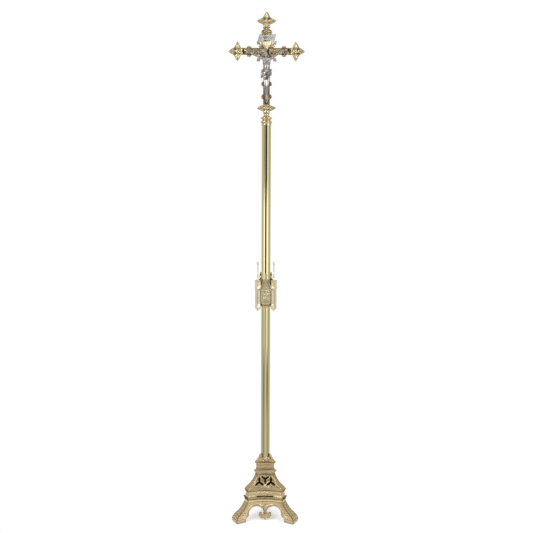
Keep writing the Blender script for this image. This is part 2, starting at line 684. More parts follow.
def make_rim():
    """The rim: a sharp ledge, and a hollow frieze of upright leaves."""
    low, high = heights("base_rim")
    sections = [(low, 95.0, 32.2, 47.6), (low + 1.0, 93.6, 31, 46.8), (low + 3.4, 93.6, 31, 46.8),
                (low + 4.8, 97.5, 33, 49.4), (low + 6.8, 100.4, 34, 50.5),
                (low + 8.8, 100.7, 34, 50.5), (low + 10.4, 97.5, 32.5, 49.2),
                (low + 13, 92, 29.0, 46.2), (low + 15, 90.6, 28, 45.4), (high - 9, 90.0, 28, 45.2),
                (high - 4, 91.6, 28, 46.2), (high - 2.5, 94, 28, 47), (high - 1, 94, 28, 47),
                (high, 92, 27.5, 46)]
    c = Casting(sections, 0.9, soften=0.8)
    b = c.block
    relief = Table((0, low - 2), (100, high + 2), 0.4)
    a, z = relief.a, relief.b
    foot, tip = low + 13.0, high - 4.0
    value = np.zeros_like(relief.value)
    for k in range(5):
        at = k * 19.0
        value = np.maximum(value, leaf(a, z, (at, foot - 1), (at, tip + 1), 9.5, 3.4, vein=0.6))
        for side in (-1, 1):
            value = np.maximum(value, leaf(a, z, (at + side * 1.5, foot),
                                           (at + side * 7.6, tip - 4), 5.4, 2.4, vein=0.4))
        value = np.maximum(value, leaf(a, z, (at + 9.5, foot + 1), (at + 9.5, tip - 8), 3.4, 1.6))
    relief.value[:] = value
    # the shadow line under the middle of the frieze
    relief.value[:] -= bead(np.abs(z - low - 10.6), 1.7, 4.4) * np.clip((38 - a) / 4, 0, 1)
    corner = Table((0, low - 2), (30, high + 2), 0.4)
    a, z = corner.a, corner.b
    corner.value[:] = np.maximum(leaf(a, z, (0, foot), (0, tip), 9, 2.8, vein=0.5),
                                 leaf(a, z, (3, foot), (9.5, tip - 3), 6, 2.2))
    zone = past(c.side - 15.5, 0.8)
    body = c.field() - relief.at(c.along, b.z) * zone - corner.at(c.side, b.z) * (1 - zone)
    b.value = np.maximum(np.maximum(body, -c.field(WALL)), c.between(low, high))
    return b.mesh("base_rim_casting", 1, 190000, stain=corner_stain(low + 3, low + 12, 95.5, 1.2))


def slot_drawing(a, z):
    """Signed distance to the three-armed openings of one face, mirrored about its middle."""
    best = np.full(np.broadcast(a, z).shape, 50.0)
    for x, height, arms, length in ((25.0, 168.0, (90, 213, 327), 21.5),
                                    (0.0, 180.0, (37, 143, 270), 18.5)):
        for angle in arms:
            r = math.radians(angle)
            s = (a - x) * math.cos(r) + (z - height) * math.sin(r)
            t = -(a - x) * math.sin(r) + (z - height) * math.cos(r)
            u = np.clip(s / length, 0, 1)
            half = np.maximum(3.5 * np.sin(np.pi * (0.16 + 0.84 * u) ** 1.25) ** 0.7,
                              2.6 * (u < 0.2)) + 0.05
            best = np.minimum(best, np.hypot(s - np.clip(s, 0, length), t) - half)
    return best


def make_pyramid():
    """The pierced pyramid: hollow sides, a sharp lip, and rims round the openings."""
    low, high = heights("pyramid_body")
    sections = [(low, 92.5, 27.5, 46), (low + 1.5, 92.5, 27.5, 46), (low + 3.5, 95.8, 28, 47.4),
                (low + 5.5, 97.5, 28, 47.9), (low + 7.5, 97.5, 28, 47.9),
                (low + 9.5, 94, 27.5, 46.6), (148, 88.6, 26, 44.2), (155.5, 79, 24.5, 40.6),
                (163, 68.5, 23, 37), (171, 60.7, 22, 34), (179, 55.4, 21, 31.9),
                (186, 51, 20.4, 30), (193, 47.4, 20, 28.4), (high, 45.3, 20, 27.3)]
    c = Casting(sections, 0.85, soften=1.6)
    b = c.block
    slots = Table((0, low - 2), (100, high + 2), 0.4)
    slots.value[:] = slot_drawing(slots.a, slots.b)
    relief = Table((0, low - 2), (100, high + 2), 0.4)
    a, z = relief.a, relief.b
    edge = slots.value
    relief.value[:] = (bead(np.abs(edge - 2.2), 1.9, 1.7)
                       + leaf(a, z, (0, 146), (0, 158), 9, 2.2, vein=0.5)
                       + leaf(a, z, (6, 145), (13, 155), 6, 1.8, vein=0.5)
                       + leaf(a, z, (16, 145.5), (24, 151), 5, 1.6)
                       + leaf(a, z, (12, 189), (12, 197), 7, 1.4)
                       + leaf(a, z, (0, 188), (0, 197), 7, 1.4)
                       + bead(line_distance(a, z, [(0, 187.5), (60, 187.5)]), 1.0, 0.9))
    reach = 0.866 * np.interp(b.z, [s[0] for s in sections], [s[1] for s in sections])
    border = (bead(np.abs(c.along - (reach - 8.5)), 1.3, 1.5)
              - bead(np.abs(c.along - (reach - 11.5)), 1.3, 0.8))
    zone = past(c.side - 11.0, 0.8)
    body = c.field() - (relief.at(c.along, b.z) + border * (b.z > 146)) * zone
    body = np.maximum(body, -c.field(WALL))
    body = smooth_max(body, -slots.at(c.along, b.z), 0.6)
    b.value = np.maximum(body, c.between(low, high))
    lip = corner_stain(low + 2, low + 9, 94.5, 0.5)
    return b.mesh("pyramid_casting", 1, 190000,
                  stain=lambda x, y, z: lip(x, y, z) + c.inside_stain(x, y, z))


def make_neck():
    """The waisted neck with its sharp ledge."""
    low, high = heights("neck_block")
    sections = [(low, 45.3, 20, 27.3), (low + 3, 44.4, 20, 26.9), (low + 4.5, 43.2, 19.6, 26.2),
                (low + 6, 46, 20.3, 27.6), (low + 8, 48.6, 21, 28.9), (low + 9.6, 47.6, 21, 28.4),
                (low + 11.5, 51.4, 22, 30.2), (low + 15.5, 52.1, 22, 30.6),
                (low + 17.5, 49, 21, 29), (low + 19, 43.4, 19, 26.6), (low + 21, 42.6, 18.6, 26.2),
                (high - 1, 41, 18, 25.9), (high, 41, 18, 25.9)]
    c = Casting(sections, 0.6, soften=0.7)
    b = c.block
    body = np.maximum(c.field(), SOCKET_R - np.hypot(b.x, b.y))
    b.value = np.maximum(body, c.between(low, high))
    return b.mesh("neck_casting", 1, 150000)


def make_roof():
    """The roof: a ledge, hollow slopes with a rib up each corner, and horns at the staff."""
    low, high = heights("roof_cap")
    sections = [(low, 41, 18, 25.9), (low + 10, 40.6, 18, 25.8), (low + 12, 41.6, 18.4, 26.4),
                (low + 13.6, 41.6, 18.4, 26.4), (low + 14.6, 40.2, 17.8, 25.6),
                (low + 16, 41, 18, 26), (low + 18, 44.4, 19.4, 27.7), (low + 20.5, 47.2, 20, 29.2),
                (low + 26, 47.6, 20, 29.5), (low + 30, 46.6, 19.4, 28.9),
                (low + 31.5, 42.6, 17, 25), (low + 40, 37.4, 13.5, 20.4),
                (low + 50, 31.2, 10.5, 15.8), (high, 25, 8, 12)]
    c = Casting(sections, 0.55, soften=0.8)
    b = c.block
    relief = Table((0, low - 2), (60, high + 2), 0.35)
    a, z = relief.a, relief.b
    relief.value[:] = (leaf(a, z, (24, low + 32), (12, low + 46), 7, 2.2, vein=0.5)
                       + leaf(a, z, (10, low + 31.5), (7, low + 40), 6, 1.8, vein=0.5)
                       - bead(line_distance(a, z, [(0, low + 31.5), (22, low + 31.5)]), 1.6, 1.6))
    zone = past(c.side - 8.0, 0.6)
    rib = bead(c.side, 3.0, 1.6) * (b.z > low + 31)
    body = c.field() - relief.at(c.along, b.z) * zone - rib
    collar_low = box_mm("socket_tube")[1][2]
    # the roof opens round the socket's bright collar
    flare = np.interp(b.z, [low, collar_low - 0.5, collar_low + 0.5, collar_low + 9, high],
                      [SOCKET_R, SOCKET_R, SOCKET_R + 0.3, SOCKET_R + 0.8, SOCKET_R + 1.2])
    body = smooth_max(body, flare - np.hypot(b.x, b.y), 0.5)
    b.value = np.maximum(body, c.between(low, high))
    return b.mesh("roof_casting", 2, 190000)


def make_pendant():
    """The hanging leaf: a plump ribbed middle with five lobes, under a bright cone."""
    low, high = box_mm("pendant")
    y = (low[1] + high[1]) / 2
    b = Block(low - 1, high + 1, 0.5)
    top = high[2]
    b.join(round_cone((0, y, top - 1.0), (0, y - 1.0, top - 11), 4.6, 7.6))
    b.join(ellipsoid((0, y, 22.5), (20.4, 6.0, 13.6)), 0.8)
    b.join(ellipsoid((0, y, 12.0), (6.4, 5.4, 8.8)), 1.0)
    lobes = ((20.4, 31.4, 6.2), (21.0, 22.0, 6.0), (14.8, 12.8, 5.8))
    for side in (-1, 1):
        for x, z, size in lobes:
            b.join(ellipsoid((side * x, y, z), (size, 0.78 * size, 0.9 * size)), 0.8)
        for face in (-1, 1):
            for x, z, size in lobes:
                b.join(round_cone((side * 2.5, y + face * 5.6, 25), (side * x, y + face * 3.9, z),
                                  1.3, 1.1), 0.5)
            for x, z in ((18.5, 27.2), (19.0, 17.4), (8.0, 7.8)):
                b.join(round_cone((side * 5.0, y + face * 7.2, 24), (side * x, y + face * 4.6, z),
                                  0.9, 1.3), 0.5, cut=True)
    for face in (-1, 1):
        b.join(round_cone((0, y + face * 6.4, 27), (0, y + face * 3.4, 5), 1.8, 1.0), 0.6)
    return b.mesh("pendant_leaf", 2)


def make_stand():
    piece("tripod_foot_casting", make_foot(), "tripod_foot", CAST)
    piece("base_rim_casting", make_rim(), "base_rim", CAST)
    piece("pyramid_casting", make_pyramid(), "pyramid_body", CAST)
    piece("neck_casting", make_neck(), "neck_block", CAST)
    piece("roof_casting", make_roof(), "roof_cap", CAST)
    piece("pendant_leaf", make_pendant(), "pendant", CAST)


make_stand()


# ---- the knop -------------------------------------------------------------------------------
def make_panel():
    """A gabled tracery panel: coping bars, an arch over a lily, scrolls and a drop below."""
    low, high = box_mm("knop_panel_front")
    back, front = high[1], low[1]
    middle = (front + back) / 2
    foot, top = low[2], high[2]
    half = high[0]
    eaves, apex = foot + 85.0, top - 15.0
    b = Block((low[0] - 4, front - 4, foot), (high[0] + 4, back + 0.5, top + 4), 0.5)
    table, relief, drawn = (Table((0, foot - 2), (half + 6, top + 6), 0.25) for _ in range(3))
    a, z = table.a, table.b
    body = both_sides([(0, foot + 19), (13, foot + 19), (half, foot + 25), (half, eaves - 1),
                       (0, apex - 2)])
    table.value[:] = outline_distance(a, z, body)
    coping = line_distance(a, z, [(half + 2.4, eaves - 1.5), (0, apex)])
    under = line_distance(a, z, [(half - 1.5, eaves - 6.0), (0, apex - 8.5)])
    arch = through([(13.0, foot + 30), (13.2, foot + 62), (11.2, foot + 74), (5.5, foot + 84),
                    (0, foot + 95)], 6)
    value = bead(line_distance(a, z, arch), 1.5, 1.6)
    mullion = line_distance(a, z, [(19.2, foot + 28), (19.2, foot + 76)])
    value = np.maximum(value, bead(mullion, 1.5, 1.3))
    lily = leaf(a, z, (0, foot + 38), (0, foot + 78), 9.5, 2.6, 0.45)
    for root, tip, width, height in (((1.5, foot + 50), (11.5, foot + 66), 6.5, 2.2),
                                     ((10, foot + 63), (12, foot + 54), 4.5, 1.9),
                                     ((1.5, foot + 47), (11.0, foot + 38), 6.0, 2.0),
                                     ((1.0, foot + 72), (6.5, foot + 80), 4.5, 1.8)):
        lily = np.maximum(lily, leaf(a, z, root, tip, width, height))
    band = line_distance(a, z, [(0, foot + 49), (4.6, foot + 49)])
    lily = np.maximum(lily, bead(band, 1.6, 2.6))
    relief.value[:] = np.maximum(value, lily)
    side = np.abs(b.x)
    plate = table.at(side, b.z)
    inside = past(-(plate + 4.2), 0.5)
    level = (front + 1.9) - relief.at(side, b.z) - 0.4 * (1 - inside)
    b.value = smooth_max(np.maximum(plate, b.y - back), level - b.y, 0.6)
    # coping bars stand out over the gable
    for line, radius, out in ((coping, 2.3, 2.2), (under, 1.4, 1.2)):
        drawn.value[:] = np.where(z > eaves - 9, line, 20)
        depth = np.abs(b.y - middle + out / 2) - (back - front + out) / 2 + radius
        bar = np.sqrt(drawn.at(side, b.z) ** 2 + 0.5 * np.clip(depth, 0, 9) ** 2)
        b.value = smooth_min(b.value, bar - radius, 0.5)
    for s in (-1, 1):
        # curled stops at the coping's foot
        b.join(ellipsoid((s * (half + 0.6), front + 0.2, eaves - 3.0), (2.6, 2.2, 2.8)), 0.6)
        # lower scrolls beside the drop
        for turn_at in np.linspace(0.2, 1.9, 9):
            angle = math.pi * turn_at
            radius = 6.4 - 1.5 * turn_at
            b.join(ellipsoid((s * (8.2 + radius * math.cos(angle)), front + 1.4,
                              foot + 15 + radius * math.sin(angle)), (1.9, 2.4, 1.9)), 0.8)
        b.join(ellipsoid((s * 8.2, front + 1.4, foot + 15), (2.2, 2.8, 2.2)), 0.5)
        b.join(round_cone((s * 3, middle, foot + 20), (s * 14, middle, foot + 21), 2.4, 2.0), 1.2)
        # crockets up the gable
        for t in (0.36, 0.68):
            x, z = s * (half + 2.4) * (1 - t), eaves - 1.5 + (apex - eaves + 1.5) * t
            b.join(ellipsoid((x + s * 1.6, middle - 0.8, z + 1.6), (1.9, 2.0, 1.9)), 0.8)
    # the drop, and the finial: stem, two leaves and a pointed bud
    b.join(ellipsoid((0, front + 1.6, foot + 8.0), (3.6, 3.0, 5.4)), 1.0)
    b.join(ellipsoid((0, middle, foot + 2.6), (1.7, 1.7, 2.6)), 0.8)
    b.join(round_cone((0, middle - 0.4, apex - 4), (0, middle - 0.4, top - 2), 2.3, 1.5), 1.0)
    b.join(ellipsoid((0, middle - 0.6, top - 9.5), (4.3, 2.7, 2.9)), 1.2)
    for s in (-1, 1):
        b.join(ellipsoid((s * 4.6, middle - 0.6, top - 8.2), (2.6, 2.1, 2.5)), 0.8)
        b.join(ellipsoid((s * 3.6, middle - 0.6, top - 14.0), (1.8, 1.8, 1.8)), 0.8)
    b.join(ellipsoid((0, middle - 0.6, top - 2.6), (2.7, 2.3, 3.4)), 0.6)
    return b.mesh("knop_tracery", 1, 150000,
                  stain=lambda x, y, z: 1.2 * np.clip((y - middle - 0.6) / 0.8, 0, 1))


PIER_OUT = 38.5    # from the staff's axis to the middle of a buttress


def make_pier():
    """A buttress with sunk panels on its faces, a drip under its cap and a pointed foot. It is
    drawn square on, out along +X, and turned into place."""
    foot, top = heights("knop_pier_rear")
    half_out, half_along = 8.0, 9.3
    b = Block((PIER_OUT - 11, -11.5, foot), (PIER_OUT + 11, 11.5, top), 0.5)
    z = b.z
    grow = np.interp(z, [foot + 11, foot + 11.6, top - 37, top - 35.5, top - 32.5, top - 31,
                         top - 4, top - 3, top], [0, 0, 0, 1.6, 1.6, 0.9, 0.4, 1.1, 0.9])
    grow += (0.8 * np.exp(-((z - foot - 23.5) / 1.4) ** 2)
             + 0.5 * np.exp(-((z - foot - 18) / 1.0) ** 2))
    point = np.clip((foot + 12.0 - z) * 0.72, 0, 99)
    dx = np.abs(b.x - PIER_OUT) - (half_out + grow - point)
    dy = np.abs(b.y) - (half_along + grow - point)
    body = smooth_max(dx, dy, 0.8)

    def sunk(across, half, top_z, low_z, depth):
        panel = np.maximum(np.abs(across) - half, np.maximum(z - top_z, low_z - z))
        return depth / (1 + np.exp(panel / 0.35))
    shaft_low, shaft_high = foot + 30, top - 41
    body = body + (sunk(b.y, half_along - 3.0, shaft_high, shaft_low, 0.9) * (dx > dy)
                   + sunk(b.x - PIER_OUT, half_out - 2.8, shaft_high, shaft_low, 0.9) * (dx <= dy)
                   + sunk(b.y, half_along - 3.2, top - 7, top - 27, 0.7) * (dx > dy)
                   + sunk(b.x - PIER_OUT, half_out - 3.0, top - 7, top - 27, 0.7) * (dx <= dy))
    b.value = np.maximum(body, np.maximum(foot - z, z - top))
    b.join(ellipsoid((PIER_OUT, 0, foot + 1.6), (1.7, 1.7, 1.9)), 0.6)
    return b.mesh("knop_buttress", 1, 90000)


def make_pinnacle():
    """A slender turned rod with a faceted foot, rings, a ball and a dark pointed cap."""
    foot, top = heights("pinnacle_rear")
    ball = top - 10.0
    outline = [(0, foot), (5.0, foot), (5.0, foot + 2.2), (4.2, foot + 3.0), (4.6, foot + 4.4),
               (3.4, foot + 6.4), (2.3, foot + 9), (2.0, foot + 24), (2.7, foot + 25),
               (2.7, foot + 26.4), (1.9, foot + 27.4), (1.6, ball - 8), (2.4, ball - 7),
               (2.4, ball - 6), (1.6, ball - 5.2)]
    for k in range(9):
        angle = math.radians(-68 + k * 17)
        outline.append((4.8 * math.cos(angle), ball + 4.8 * math.sin(angle)))
    outline += [(2.7, ball + 4.3), (2.9, ball + 5.4), (1.6, ball + 7.8), (0.4, top), (0, top)]
    return lathe("knop_pinnacle", outline, 48)


def make_knop():
    panel = make_panel()
    for name, turn in (("front", 0), ("right", 120), ("left", 240)):
        piece("knop_tracery_" + name, panel, "knop_panel_" + name, KNOP, turn)
    pier = make_pier()
    pinnacle = make_pinnacle()
    pinnacle.transform(Matrix.Translation((PIER_OUT * MM, 0, 0)))
    for name, turn in (("right", -30), ("rear", 90), ("left", 210)):
        piece("knop_buttress_" + name, pier, "knop_pier_" + name, PIER, turn)
        piece("knop_pinnacle_" + name, pinnacle, "pinnacle_" + name, KNOP, turn)


make_knop()


# ---- staff collar ---------------------------------------------------------------------------
def make_ferrule():
    """The turned collar on top of the staff, with the hole that takes the cross."""
    low, top = heights("top_ferrule")
    foot = low + 22.0
    inside = 17.35
    outline = [(inside, foot - 22), (inside, foot - 0.2), (19.0, foot)]
    outline += [tuple(p) for p in through([
        (20.2, foot), (20.5, foot + 1.2), (20.2, foot + 3.0), (20.1, foot + 6.0),
        (21.2, foot + 7.6), (22.9, foot + 9.4), (23.5, foot + 12.0), (22.9, foot + 14.4),
        (20.8, foot + 16.0), (18.6, foot + 17.4), (17.3, foot + 19.6), (17.5, foot + 22.0),
        (19.2, foot + 23.8), (21.6, foot + 24.6), (23.2, foot + 26.0), (23.6, foot + 28.0),
        (23.0, foot + 30.0), (21.2, foot + 31.2), (18.4, foot + 32.0), (17.0, top)], 5)]
    outline += [(6.4, top), (6.4, top - 21), (0, top - 21), (0, foot - 22)]
    piece("staff_collar", lathe("staff_collar", outline, 96), "top_ferrule", TURNED)


make_ferrule()


# ---- the cross head -------------------------------------------------------------------------
arm_low, arm_high = box_mm("fleuron_right")
bars_low, bars_high = box_mm("cross_body")
CROSS_Z = (arm_low[2] + arm_high[2]) / 2
BAR = (bars_high - bars_low)[1] * 3.35 / 2    # half the width of the bars
ARM_END = bars_high[0]
SHAFT_LOW, SHAFT_HIGH = bars_low[2], bars_high[2]
LOBE_TIP = arm_high[0]
SIDE_TIP = (arm_high[2] - arm_low[2]) / 2
LOBE_LONG = 36.0                              # from a fleuron's centre to its tip


def lobe_outline(tail):
    """Half outline of a pointed trefoil, from its tail up to its tip, centre at the origin."""
    return np.concatenate([
        [(BAR + 0.8, -tail), (BAR, -tail + 6)],
        through([(BAR, -17.0), (BAR + 0.6, -13.2)], 3),
        through([(BAR + 0.8, -13.4), (19.0, -11.4), (25.5, -8.6), (31.5, -5.2),
                 (SIDE_TIP - 1.6, -1.2)], 5),
        through([(SIDE_TIP, 0.0), (35.4, 2.5), (31.0, 5.6), (25.5, 8.9), (20.0, 11.6),
                 (16.4, 13.6)], 5),
        through([(14.6, 15.2), (12.9, 18.4), (10.8, 22.6), (8.2, 27.0), (5.2, 31.2),
                 (2.2, 34.8), (0, LOBE_LONG)], 5)])


def leaf_spray(a, b, leaves):
    """The highest of several leaves, given as root, tip, width and height."""
    value = 0
    for root, tip, width, height in leaves:
        value = np.maximum(value, leaf(a, b, root, tip, width, height))
    return value


def fleuron_relief(a, b, tail):
    """Foliage of one fleuron: a leaf in every lobe, curled side leaves and a rosette."""
    value = leaf_spray(a, b, [
        ((0, 8), (0, 33), 9.0, 2.2), ((1.5, 11), (8.2, 21), 5.4, 1.9),
        ((1.0, 18), (6.6, 27.5), 4.6, 1.7), ((8, 0), (35, 0.2), 9.0, 2.2),
        ((12, 2.0), (21, 8.4), 5.2, 1.9), ((12, -2.0), (21, -8.0), 5.2, 1.9),
        ((20, 1.5), (28, 6.0), 4.4, 1.6), ((20, -1.5), (28, -5.4), 4.4, 1.6),
        ((4, -7), (10.5, -15), 5.6, 1.9), ((0, -8), (0, 2 - tail), 7.0, 2.0),
        ((2.5, -14), (10.8, -20.5), 5.0, 1.7)])
    r = np.hypot(a, b)
    angle = np.arctan2(b, a)
    rosette = bead(r - 6.6, 1.0, 2.6) + (r < 5.8) * (1.4 + 0.9 * np.abs(np.cos(2 * angle))
                                                     * np.sin(np.clip(r / 5.8, 0, 1) * math.pi))
    value = np.where(r < 7.6, np.maximum(rosette, 0.8), value)
    return np.maximum(value, (r < 2.0) * 3.1)


def relief_plate(block, outline, relief, across, along, ground, back_share):
    """A plate about y = 0 with relief on both faces, lower on its back by back_share. Its
    outline and foliage are drawn in (across, along)."""
    rim = 1.6
    low = (0.0, float(np.min(along)) - 1)
    high = (float(np.max(np.abs(across))) + 1, float(np.max(along)) + 1)
    edge = Table(low, high, 0.3)
    edge.value[:] = outline_distance(edge.a, edge.b, outline)
    drawn = Table(low, high, 0.3)
    inner = past(-(edge.value + rim + 0.7), 0.25)
    drawn.value[:] = relief(drawn.a, drawn.b) * inner + bead(edge.value + rim, rim * 0.85, 1.3)
    side = np.abs(across)
    plate = edge.at(side, along)
    height = drawn.at(side, along)
    depth = np.where(block.y < 0, ground + height, ground + back_share * height)
    return smooth_max(plate, np.abs(block.y) - depth, 0.7)


def make_arm_fleuron(tail, name):
    """An upright fleuron with its centre at the origin."""
    b = Block((-SIDE_TIP, -9, -tail), (SIDE_TIP, 6, LOBE_LONG), 0.42)
    b.value = relief_plate(b, both_sides(lobe_outline(tail)),
                           lambda u, v: fleuron_relief(u, v, tail), b.x, b.z, 3.4, 0.6)
    # bevelled stop where the bar meets the fleuron
    for s in (-1, 1):
        for z in (-tail + 1.4, -tail + 4.6):
            b.join(round_cone((-BAR * 0.9, s * 2.6, z), (BAR * 0.9, s * 2.6, z), 1.5, 1.5), 0.5)
    b.value = np.maximum(b.value, -tail - b.z)
    return b.mesh(name, 1, 120000)


def vine(a, b, start, end):
    """A running stem with a leaf in each bend."""
    swing, wave = 5.0, 27.0
    t = np.linspace(start, end, 60)
    stem = np.stack([t, swing * np.sin((t - start) * 2 * math.pi / wave)], axis=1)
    value = bead(line_distance(a, b, stem), 1.15, 1.5)
    count = int((end - start) / wave * 2)
    for k in range(count):
        at = start + wave / 4 + k * wave / 2
        up = 1 if k % 2 == 0 else -1
        if at + 5 > end:
            break
        value = np.maximum(value, leaf_spray(a, b, [
            ((at - 6.0, up * 2.5), (at + 3.0, -up * 8.6), 6.6, 2.0),
            ((at - 1.0, -up * 1.0), (at + 8.0, -up * 8.2), 5.4, 1.8),
            ((at - 3.5, up * 6.0), (at - 9.5, up * 9.4), 4.4, 1.6),
            ((at + 1.5, up * 6.2), (at + 7.5, up * 9.6), 4.4, 1.6)]))
        value = np.maximum(value, bead(np.hypot(a - at - 0.5, b + up * 3.2), 1.7, 2.3))
    return value


def make_cross_bars():
    """The bars: foliage on the arms and the upper arm, a smooth hollow face below."""
    b = Block((-ARM_END, -6.5, SHAFT_LOW), (ARM_END, 6.5, SHAFT_HIGH), 0.55)
    x, z = b.x, b.z - CROSS_Z
    arms = Table((0, -BAR - 2), (ARM_END + 2, BAR + 2), 0.3)
    a, c = arms.a, arms.b
    border = bead(BAR - 1.4 - np.abs(c), 1.25, 1.2)
    stop = bead(np.abs(a - ARM_END + 9.6), 1.2, 1.2)
    foliage = vine(a, c, 17.0, ARM_END - 11.0) * (np.abs(c) < BAR - 2.6)
    smooth = 1.7 - 1.0 * np.abs(c / BAR) ** 3
    arms.value[:] = np.where(a > ARM_END - 9.0, smooth,
                             np.maximum(np.maximum(border, foliage), stop))
    shaft = Table((0, SHAFT_LOW - CROSS_Z - 2), (BAR + 2, SHAFT_HIGH - CROSS_Z + 2), 0.3)
    c, a = shaft.a, shaft.b
    border = bead(BAR - 1.4 - c, 1.25, 1.2)
    hollow = 1.3 * (c / (BAR - 2.6)) ** 2 * (c < BAR - 2.6)
    upper = np.maximum(border, np.where(c < BAR - 2.6, leaf_spray(c, a, [
        ((0.5, 62), (8.4, 70), 5.4, 1.9), ((0.5, 69), (8.4, 77), 5.4, 1.9),
        ((0.5, 76), (8.4, 84), 5.4, 1.9), ((0.0, 62), (0, 92), 3.4, 2.0),
        ((0.5, 83), (8.0, 91), 5.4, 1.9)]), 0))
    lower = np.maximum(border, hollow)
    shaft.value[:] = np.where(a > BAR, upper, lower)
    arm_height = arms.at(np.abs(x), z)
    shaft_height = shaft.at(np.abs(x), z)
    ground = 3.0
    arm_body = smooth_max(np.maximum(np.abs(z) - BAR, np.abs(x) - ARM_END),
                          np.abs(b.y) - ground - arm_height, 0.6)
    shaft_body = smooth_max(np.maximum(np.abs(x) - BAR, np.maximum(
        SHAFT_LOW - b.z, b.z - SHAFT_HIGH)), np.abs(b.y) - ground - shaft_height, 0.6)
    crossing = np.maximum(np.maximum(np.abs(x), np.abs(z)) - BAR, np.abs(b.y) - ground - 0.6)
    in_crossing = (np.abs(x) < BAR) & (np.abs(z) < BAR)
    body = np.minimum(np.where(in_crossing, 9, arm_body), np.where(in_crossing, 9, shaft_body))
    b.value = np.minimum(body, crossing)
    # rosette on the crossing's back, and the fluted stem of each bar's inner corner
    b.join(ellipsoid((0, 3.2, CROSS_Z), (9.0, 2.6, 9.0)), 0.8)
    for k in range(8):
        angle = k * math.pi / 4
        b.join(ellipsoid((7.5 * math.cos(angle), 3.6, CROSS_Z + 7.5 * math.sin(angle)),
                         (3.4, 2.4, 3.4)), 0.5)
    return b.mesh("cross_bars", 1, 190000)


def make_base_fleuron():
    """The lowest fleuron on its round foot: rosette, side leaves and a hanging leaf."""
    low, high = box_mm("fleuron_base")
    centre = high[2] - 16.0
    foot = low[2] - centre
    b = Block((low[0], -14, low[2]), (high[0], 14, high[2]), 0.45)
    outline = both_sides(np.concatenate([
        [(0, foot + 8), (11.0, foot + 8)],
        through([(11.4, foot + 10), (12.6, foot + 15), (13.6, foot + 19), (12.6, foot + 23.0),
                 (14.6, -11.5)], 4),
        through([(15.2, -11.6), (22.5, -9.4), (31.0, -5.4), (SIDE_TIP - 0.9, -0.9)], 5),
        through([(SIDE_TIP, 0), (34, 4.4), (25, 8.4), (18.0, 11.0), (BAR, 13.0)], 5),
        [(BAR, 16.0), (0, 16.0)]]))

    def relief(u, v):
        value = leaf_spray(u, v, [
            ((9, 0), (35.5, 0), 9.5, 2.4), ((12, 2.4), (22, 8.0), 5.2, 1.9),
            ((12, -2.4), (22, -8.0), 5.2, 1.9), ((21, 1.5), (29, 5.4), 4.2, 1.6),
            ((21, -1.5), (29, -5.2), 4.2, 1.6), ((0, -6), (0, -27), 13.0, 3.0),
            ((3.0, -10), (11.0, -20), 5.0, 1.9), ((0, 7), (0, 18), 8.0, 1.6),
            ((4, 7), (11.5, 14), 5.4, 1.8)])
        r = np.hypot(u, v)
        button = 1.2 + 1.8 * np.clip(1 - (r / 4.2) ** 2, 0, 1)
        rosette = bead(r - 6.2, 1.2, 3.0) + (r < 5) * button
        value = np.where(r < 7.6, rosette, value)
        pit = np.exp(-((u - 14.2) ** 2 + (v * 1.2) ** 2) / 7.0)
        return value - 3.0 * pit
    b.value = relief_plate(b, outline, relief, b.x, b.z - centre, 3.6, 0.9)
    # the round foot: a foot ring, a hollow and an upper bead
    r = np.hypot(b.x, b.y)
    profile = np.interp(b.z - low[2], [0, 3.2, 4.2, 5.4, 7.5, 10.5, 12.5, 13.6, 14.6, 16, 18.5],
                        [13.4, 13.4, 12.6, 11.2, 10.4, 10.4, 11.2, 11.9, 11.9, 11.0, 6.0])
    foot_body = np.maximum(r - profile, b.z - low[2] - 18)
    b.value = smooth_min(b.value, foot_body, 0.8)
    b.value = np.maximum(b.value, np.maximum(low[2] - b.z, 6.4 - r - 9 * (b.z > low[2] + 20)))
    return b.mesh("base_fleuron", 1, 120000)


def make_crocket():
    """A leaf bud on a bar's edge: a ribbed dome between two curled leaves, growing along +Z."""
    b = Block((-10, -5.5, 0), (10, 5.5, 10), 0.35)
    b.join(ellipsoid((0, 0, 4.6), (4.4, 4.4, 4.7)), 0)
    for s in (-1, 1):
        b.join(round_cone((s * 3.6, 0, 1.2), (s * 6.2, 0, 4.6), 2.2, 2.4), 0.5)
        b.join(ellipsoid((s * 7.0, 0, 3.0), (2.2, 3.2, 2.2)), 0.5)
        for y in (-1, 1):
            b.join(round_cone((s * 2.9, y * 4.6, 7.4), (s * 3.6, y * 4.4, 1.0), 0.7, 0.7), 0.3,
                   cut=True)
        b.join(round_cone((s * 1.3, -4.6, 8.4), (s * 1.5, -4.8, 3.2), 0.45, 0.45), 0.2, cut=True)
    b.join(round_cone((-7.5, 0, 0.7), (7.5, 0, 0.7), 2.0, 2.0), 0.5)
    b.value = np.maximum(b.value, -b.z)
    return b.mesh("crocket_leaf", 1, 16000)


